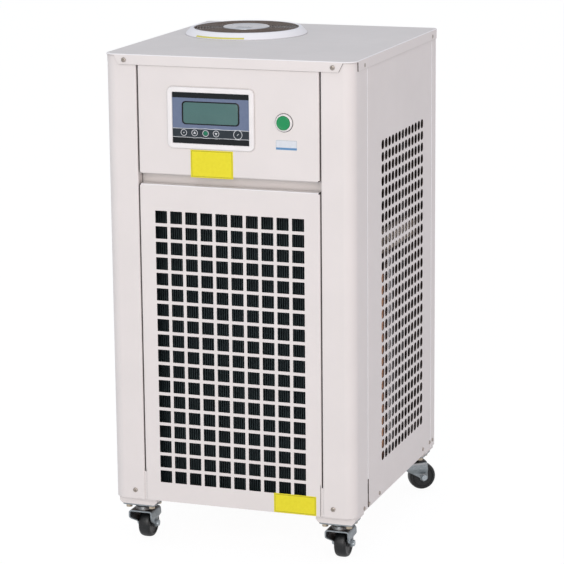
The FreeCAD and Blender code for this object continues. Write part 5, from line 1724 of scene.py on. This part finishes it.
@dataclass(frozen=True)
class InnerWorks:
    """Finishes of the frame's own solids, which keep their shape."""

    finishes: tuple[tuple[Finish, tuple[str, ...]], ...] = (
        (CREAM, ("base_tray", "cross_rail", "caster_pads")),
        (GALVANISED, ("electrics_shelf", "condenser_plates", "electrics_box")),
        (ENAMEL, ("fan_duct", "fan_motor", "compressor", "pump_motor")), (FAN_NYLON, ("fan_rotor",)),
        (GREY_ABS, ("controller_module", "button_switch")), (BLACK_ABS, ("tank_lid",)),
        (RUBBER, ("compressor_grommets",)), (TANK_FOAM, ("water_tank",)), (BRASS, ("pump_head",)),
        (COPPER, ("filter_drier", "suction_pipe", "liquid_pipe")), (SLEEVE_FOAM, ("insulated_pipe",)),
        (POST_PAINT, ("frame_post",)))

    def build(self) -> None:
        """Give each solid its finish."""
        for finish, names in self.finishes:
            for name in names:
                materials = frame["nodes"][name].data.materials
                materials.clear()
                materials.append(finish.material())


# Rear
@dataclass(frozen=True)
class RearFittings:
    """Water ports, drain, filler, level gauge and gland on the rear panel."""

    outlet: Pair = (110.0, 250.0)
    inlet: Pair = (110.0, 170.0)
    thread_pitch: float = 1.8
    port_flats: float = 30.0
    filler_place: Pair = (-120.0, 640.0)
    flange_screws: float = 28.0
    ribs: int = 24
    gauge_place: Pair = (-120.0, 430.0)
    gland_place: Pair = (110.0, 640.0)
    gland_flats: float = 24.0
    drain_place: Pair = (-60.0, 40.0)
    drain_flats: float = 17.0

    def seat(self, x: float, z: float) -> Seat:
        """Seat on the rear panel's face."""
        return Seat((x, SKIN_REAR, z), Face.REAR)

    def port(self, name: str, place: Pair) -> None:
        """Hexagon against the panel, threaded stub with an open bore and the shank behind.

        Thread radius = outer radius - depth times the triangle wave of (h / pitch - a / one turn).

        Args:
            name: Node that it stands for.
            place: Its axis, across and up.
        """
        seat, flats = self.seat(*place), self.port_flats
        angle = round_angles(48)[None]
        height = np.linspace(12.0, 23.2, 41)[:, None]
        phase = np.mod(height / self.thread_pitch - angle / (2 * np.pi), 1.0)
        thread = 10.5 - 1.0 * np.abs(2 * phase - 1)
        corner = flats / math.sqrt(3)
        bore = [(7.5, 24.0), (9.0, 24.0), (9.6, 23.5)]
        hexagon = [hexagon_radius(angle, flats, limit) for limit in (15.3, corner, corner, 15.3)]
        radius = np.concatenate([np.full_like(angle, r) for r, _ in bore] + [thread[::-1]] + hexagon
                                + [np.full_like(angle, r) for r in (12.0, 12.0, 7.5)])
        level = np.concatenate([[h for _, h in bore], height[::-1, 0],
                                [12.0, 10.6, 1.2, 0.0, 0.0, -24.0, -24.0]])[:, None]
        u, v = polar(radius, angle)
        draft = Draft()
        draft.grid(seat.place(u, v, level), wrap_rows=True, wrap_columns=True)
        draft.piece(name + "_fitting", [BRASS], "cabinet", "brass_fitting", (name,))

    def filler(self) -> None:
        """Flanged neck, and the ribbed cap: radius = R + rib times a rounded square wave round it."""
        seat = self.seat(*self.filler_place)
        draft = Draft()
        corners = [(18.0, -19.5), (18.0, 20.5), (21.0, 20.5), (21.0, 4.0), (34.0, 4.0), (34.0, 0.0),
                   (21.0, 0.0), (21.0, -19.5), (18.0, -19.5)]
        draft.turn(rounded_path(corners, [0.5, 0.5, 1.0, 1.5, 0.0, 0.0, 0.0], 4), seat, 64, closed=True)
        draft.piece("filler_flange", [BLACK_ABS], "cabinet", "black_plastic", ("filler_neck",))
        screws = Draft()
        for bearing in (0.25, 0.75, 1.25, 1.75):
            x = self.filler_place[0] + self.flange_screws * math.cos(bearing * math.pi)
            z = self.filler_place[1] + self.flange_screws * math.sin(bearing * math.pi)
            Screw(2.6, 1.4, 0.45, 0.8).add(screws, Seat((x, SKIN_REAR + 3.9, z), Face.REAR), bearing)
        screws.piece("filler_screws", [NICKEL], "cabinet", "zinc")
        cap = Draft()
        angle = round_angles(192)[None]
        rib = 1.4 * np.clip(0.5 + 1.6 * np.cos(self.ribs / 2 * angle), 0, 1)
        level = np.array([26.0, 26.0, 25.4, 24.4, 6.0, 4.2, 4.2, 22.5, 22.5])[:, None]
        base = np.array([0.0, 24.5, 26.2, 27.0, 27.0, 26.6, 21.08, 21.08, 0.0])[:, None]
        share = np.array([0.0, 0.0, 0.4, 1.0, 1.0, 0.6, 0.0, 0.0, 0.0])[:, None]
        u, v = polar(base + share * rib, angle)
        cap.grid(seat.place(u, v, level), wrap_columns=True)
        cap.piece("filler_cap_ribbed", [BLACK_ABS], "cap", "black_plastic", ("filler_cap",))

    def gauge(self) -> None:
        """Long frame with its slot, and the clear window in it."""
        seat = self.seat(*self.gauge_place)
        surface = seat.rings([
            (13.0, 90.0, 5.0, 0.0), (13.0, 90.0, 5.0, 7.5), (12.6, 89.6, 4.6, 8.6), (11.6, 88.6, 3.8, 9.0),
            (6.0, 81.0, 2.0, 9.0), (5.2, 80.2, 1.4, 8.4), (5.0, 80.0, 1.2, 4.5)], 5)
        frame_draft = Draft()
        frame_draft.grid(surface, wrap_columns=True)
        frame_draft.lid(surface[-1])
        frame_draft.lid(surface[0][::-1])
        frame_draft.piece("gauge_frame", [BLACK_ABS], "cabinet", "black_plastic", ("level_gauge",))
        window = Draft()
        window.patch(seat, (4.8, 79.8), 1.0, [(0.0, 4.6), (0.0, 6.9), (0.5, 7.4), (1.2, 7.5)], 4)
        window.piece("gauge_clear", [ACRYLIC], "cabinet", "clear_gauge", ("gauge_window",))

    def gland(self) -> None:
        """Gland: hexagon collar, ribbed dome and open bore, with its threaded shank behind."""
        seat, flats = self.seat(*self.gland_place), self.gland_flats
        angle = round_angles(96)[None]
        ribs = 0.5 * np.clip(np.cos(16 * angle), -0.6, 0.6)
        corner = flats / math.sqrt(3)
        plain = np.zeros_like(angle)
        rows = [(5.0, 21.6, 0), (6.5, 22.0, 0), (8.2, 20.0, 1), (9.4, 14.0, 1), (9.6, 9.0, 1), (9.6, 8.0, 0)]
        radius = [plain + r + share * ribs for r, _, share in rows]
        radius += [hexagon_radius(angle, flats, limit) for limit in (12.2, corner, corner, 12.3)]
        radius += [plain + 10.0, plain + 10.0, plain + 5.0]
        level = [h for _, h, _ in rows] + [8.0, 7.0, 1.0, 0.0, 0.0, -8.0, -8.0]
        u, v = polar(np.concatenate(radius), angle)
        draft = Draft()
        draft.grid(seat.place(u, v, np.array(level)[:, None]), wrap_rows=True, wrap_columns=True)
        draft.piece("gland_body", [BLACK_ABS], "cabinet", "black_plastic", ("cable_gland",))

    def drain(self) -> None:
        """Drain socket with its hexagon plug."""
        seat, flats = self.seat(*self.drain_place), self.drain_flats
        angle = round_angles(48)[None]
        corner = flats / math.sqrt(3)
        hexagon = [hexagon_radius(angle, flats, limit) for limit in (8.7, corner, corner)]
        radius = [np.zeros_like(angle)] + hexagon
        radius += [np.full_like(angle, r) for r in (11.6, 12.5, 12.5, 11.0, 11.0, 0.0)]
        level = np.array([14.0, 14.0, 13.0, 7.0, 7.0, 6.2, 0.0, 0.0, -1.5, -1.5])[:, None]
        u, v = polar(np.concatenate(radius), angle)
        draft = Draft()
        draft.grid(seat.place(u, v, level), wrap_columns=True)
        draft.piece("drain_fitting", [BRASS], "cabinet", "brass_fitting", ("drain_plug",))

    def build(self) -> None:
        """Build every fitting."""
        self.port("water_outlet", self.outlet)
        self.port("water_inlet", self.inlet)
        self.filler()
        self.gauge()
        self.gland()
        self.drain()


# Studio
@dataclass(frozen=True)
class Studio:
    """Camera at the photograph's place, white floor and world, and soft lamps."""

    eye: Triple = (1.4316, -4.0030, 1.3757)
    yaw: float = 19.633
    pitch: float = 12.563
    roll: float = -0.542
    lens: float = 157.98
    shift: Pair = (-0.0006, -0.0037)
    floor: float = 40.0
    white: float = 0.9
    fill: float = 0.71
    mirrored: float = 0.45
    glow: float = 1.05
    clip_end: float = 200.0
    target: Triple = (0.0, 0.0, 0.45)

    def camera(self) -> None:
        """Camera by its yaw, pitch and roll, made the scene's own."""
        yaw, pitch, roll = (math.radians(a) for a in (self.yaw, self.pitch, self.roll))
        level = math.cos(pitch)
        forward = Vector((-math.sin(yaw) * level, math.cos(yaw) * level, -math.sin(pitch)))
        right = Vector((math.cos(yaw), math.sin(yaw), 0.0))
        up = right.cross(forward)
        across = right * math.cos(roll) + up * math.sin(roll)
        upward = up * math.cos(roll) - right * math.sin(roll)
        data = bpy.data.cameras.new("camera")
        data.lens = self.lens
        data.sensor_width = 36.0
        data.sensor_fit = "HORIZONTAL"
        data.shift_x, data.shift_y = self.shift
        data.clip_end = self.clip_end
        camera = bpy.data.objects.new("camera", data)
        turn = Matrix((across, upward, -forward)).transposed().to_4x4()
        camera.matrix_world = Matrix.Translation(self.eye) @ turn
        bpy.context.scene.collection.objects.link(camera)
        bpy.context.scene.camera = camera

    def lamp(self, name: str, place: Triple, size: float, power: float,
             colour: str) -> None:
        """Square soft lamp that looks at the cabinet's middle.

        Args:
            name: Name of the lamp.
            place: Its place in metres.
            size: Length of its side.
            power: Its power in watts.
            colour: Its colour.
        """
        data = bpy.data.lights.new(name, "AREA")
        data.shape = "SQUARE"
        data.size = size
        data.energy = power
        data.color = linear(colour)[:3]
        lamp = bpy.data.objects.new(name, data)
        aim = Vector(self.target) - Vector(place)
        lamp.matrix_world = Matrix.Translation(place) @ aim.to_track_quat("-Z", "Y").to_matrix().to_4x4()
        bpy.context.scene.collection.objects.link(lamp)

    def seen(self, tree: Tree) -> Socket:
        """Share of the white that a ray meets.

        It is 1 for rays from the camera and through glass, less for reflected ones, and 0 for
        the light that falls on things.

        Args:
            tree: Node tree that it goes into.

        Returns:
            Socket of the share.
        """
        path = add_node(tree, "ShaderNodeLightPath")
        mirror = add_node(tree, "ShaderNodeMath", {0: path.outputs["Is Glossy Ray"], 1: self.mirrored},
                          operation="MULTIPLY")
        first = add_node(tree, "ShaderNodeMath", {0: path.outputs["Is Camera Ray"], 1: mirror.outputs[0]},
                         operation="MAXIMUM")
        both = add_node(tree, "ShaderNodeMath", {0: first.outputs[0], 1: path.outputs["Is Transmission Ray"]},
                        operation="MAXIMUM")
        return both.outputs[0]

    def world(self) -> None:
        """White where it is seen, and a weaker fill where it lights: warm round about and blue overhead."""
        world = bpy.data.worlds.new("studio")
        world.use_nodes = True
        tree = world.node_tree
        tree.nodes.clear()
        seen = self.seen(tree)
        strength = add_node(tree, "ShaderNodeMapRange", {"Value": seen, "To Min": self.fill, "To Max": 1.0})
        way = add_node(tree, "ShaderNodeNewGeometry")
        height = add_node(tree, "ShaderNodeSeparateXYZ", {"Vector": way.outputs["Incoming"]})
        upward = add_node(tree, "ShaderNodeMath", {0: height.outputs["Z"], 1: -1.0}, operation="MULTIPLY")
        sky = add_node(tree, "ShaderNodeMapRange", {"Value": upward.outputs[0]})
        fill = add_node(tree, "ShaderNodeMix", {
            0: sky.outputs["Result"], 6: linear("#F4E6E7"), 7: linear("#E1F0FF")}, data_type="RGBA")
        colour = add_node(tree, "ShaderNodeMix", {0: seen, 6: fill.outputs[2], 7: (1, 1, 1, 1)},
                          data_type="RGBA")
        back = add_node(tree, "ShaderNodeBackground", {"Color": colour.outputs[2],
                                                       "Strength": strength.outputs["Result"]})
        add_node(tree, "ShaderNodeOutputWorld", {"Surface": back.outputs[0]})
        bpy.context.scene.world = world

    def ground(self) -> None:
        """White floor that keeps the shadow, lifted towards white where it is seen."""
        material = bpy.data.materials.new("paper_floor")
        material.use_nodes = True
        tree = material.node_tree
        tree.nodes.clear()
        diffuse = add_node(tree, "ShaderNodeBsdfDiffuse", {"Color": (0.92, 0.92, 0.92, 1)})
        glow = add_node(tree, "ShaderNodeEmission", {"Color": (1, 1, 1, 1), "Strength": self.glow})
        share = add_node(tree, "ShaderNodeMath", {0: self.seen(tree), 1: self.white}, operation="MULTIPLY")
        mix = add_node(tree, "ShaderNodeMixShader", {
            0: share.outputs[0], 1: diffuse.outputs[0], 2: glow.outputs[0]})
        add_node(tree, "ShaderNodeOutputMaterial", {"Surface": mix.outputs[0]})
        mesh = bpy.data.meshes.new("floor")
        corners = np.array([(-1, -1, 0), (1, -1, 0), (1, 1, 0), (-1, 1, 0)]) * self.floor
        mesh.from_pydata(corners.tolist(), [], [(0, 1, 2, 3)])
        mesh.materials.append(material)
        item = bpy.data.objects.new("floor", mesh)
        bpy.context.scene.collection.objects.link(item)

    def build(self) -> None:
        """Set up the camera, the world, the floor and the lamps."""
        self.camera()
        self.world()
        self.ground()
        self.lamp("key", (0.5, -6.0, 2.6), 3.2, 124.0, "#FFFCFA")
        self.lamp("side", (3.8, -3.0, 2.0), 2.5, 29.0, "#FFE0D8")
        bpy.context.scene.view_settings.view_transform = "Standard"


def main() -> None:
    """Build the studio and every sub-assembly."""
    logging.basicConfig(level=logging.INFO)
    for part in (Studio(), Casing(), FanTop(), Controller(), PushButton(), Labels(), Casters(), FinPack(),
                 InnerWorks(), RearFittings()):
        known = set(bpy.data.objects.keys())
        part.build()
        for name in sorted(set(bpy.data.objects.keys()) - known):
            LOG.info("%s: %s", type(part).__name__, name)


if __name__ == "__main__":
    main()
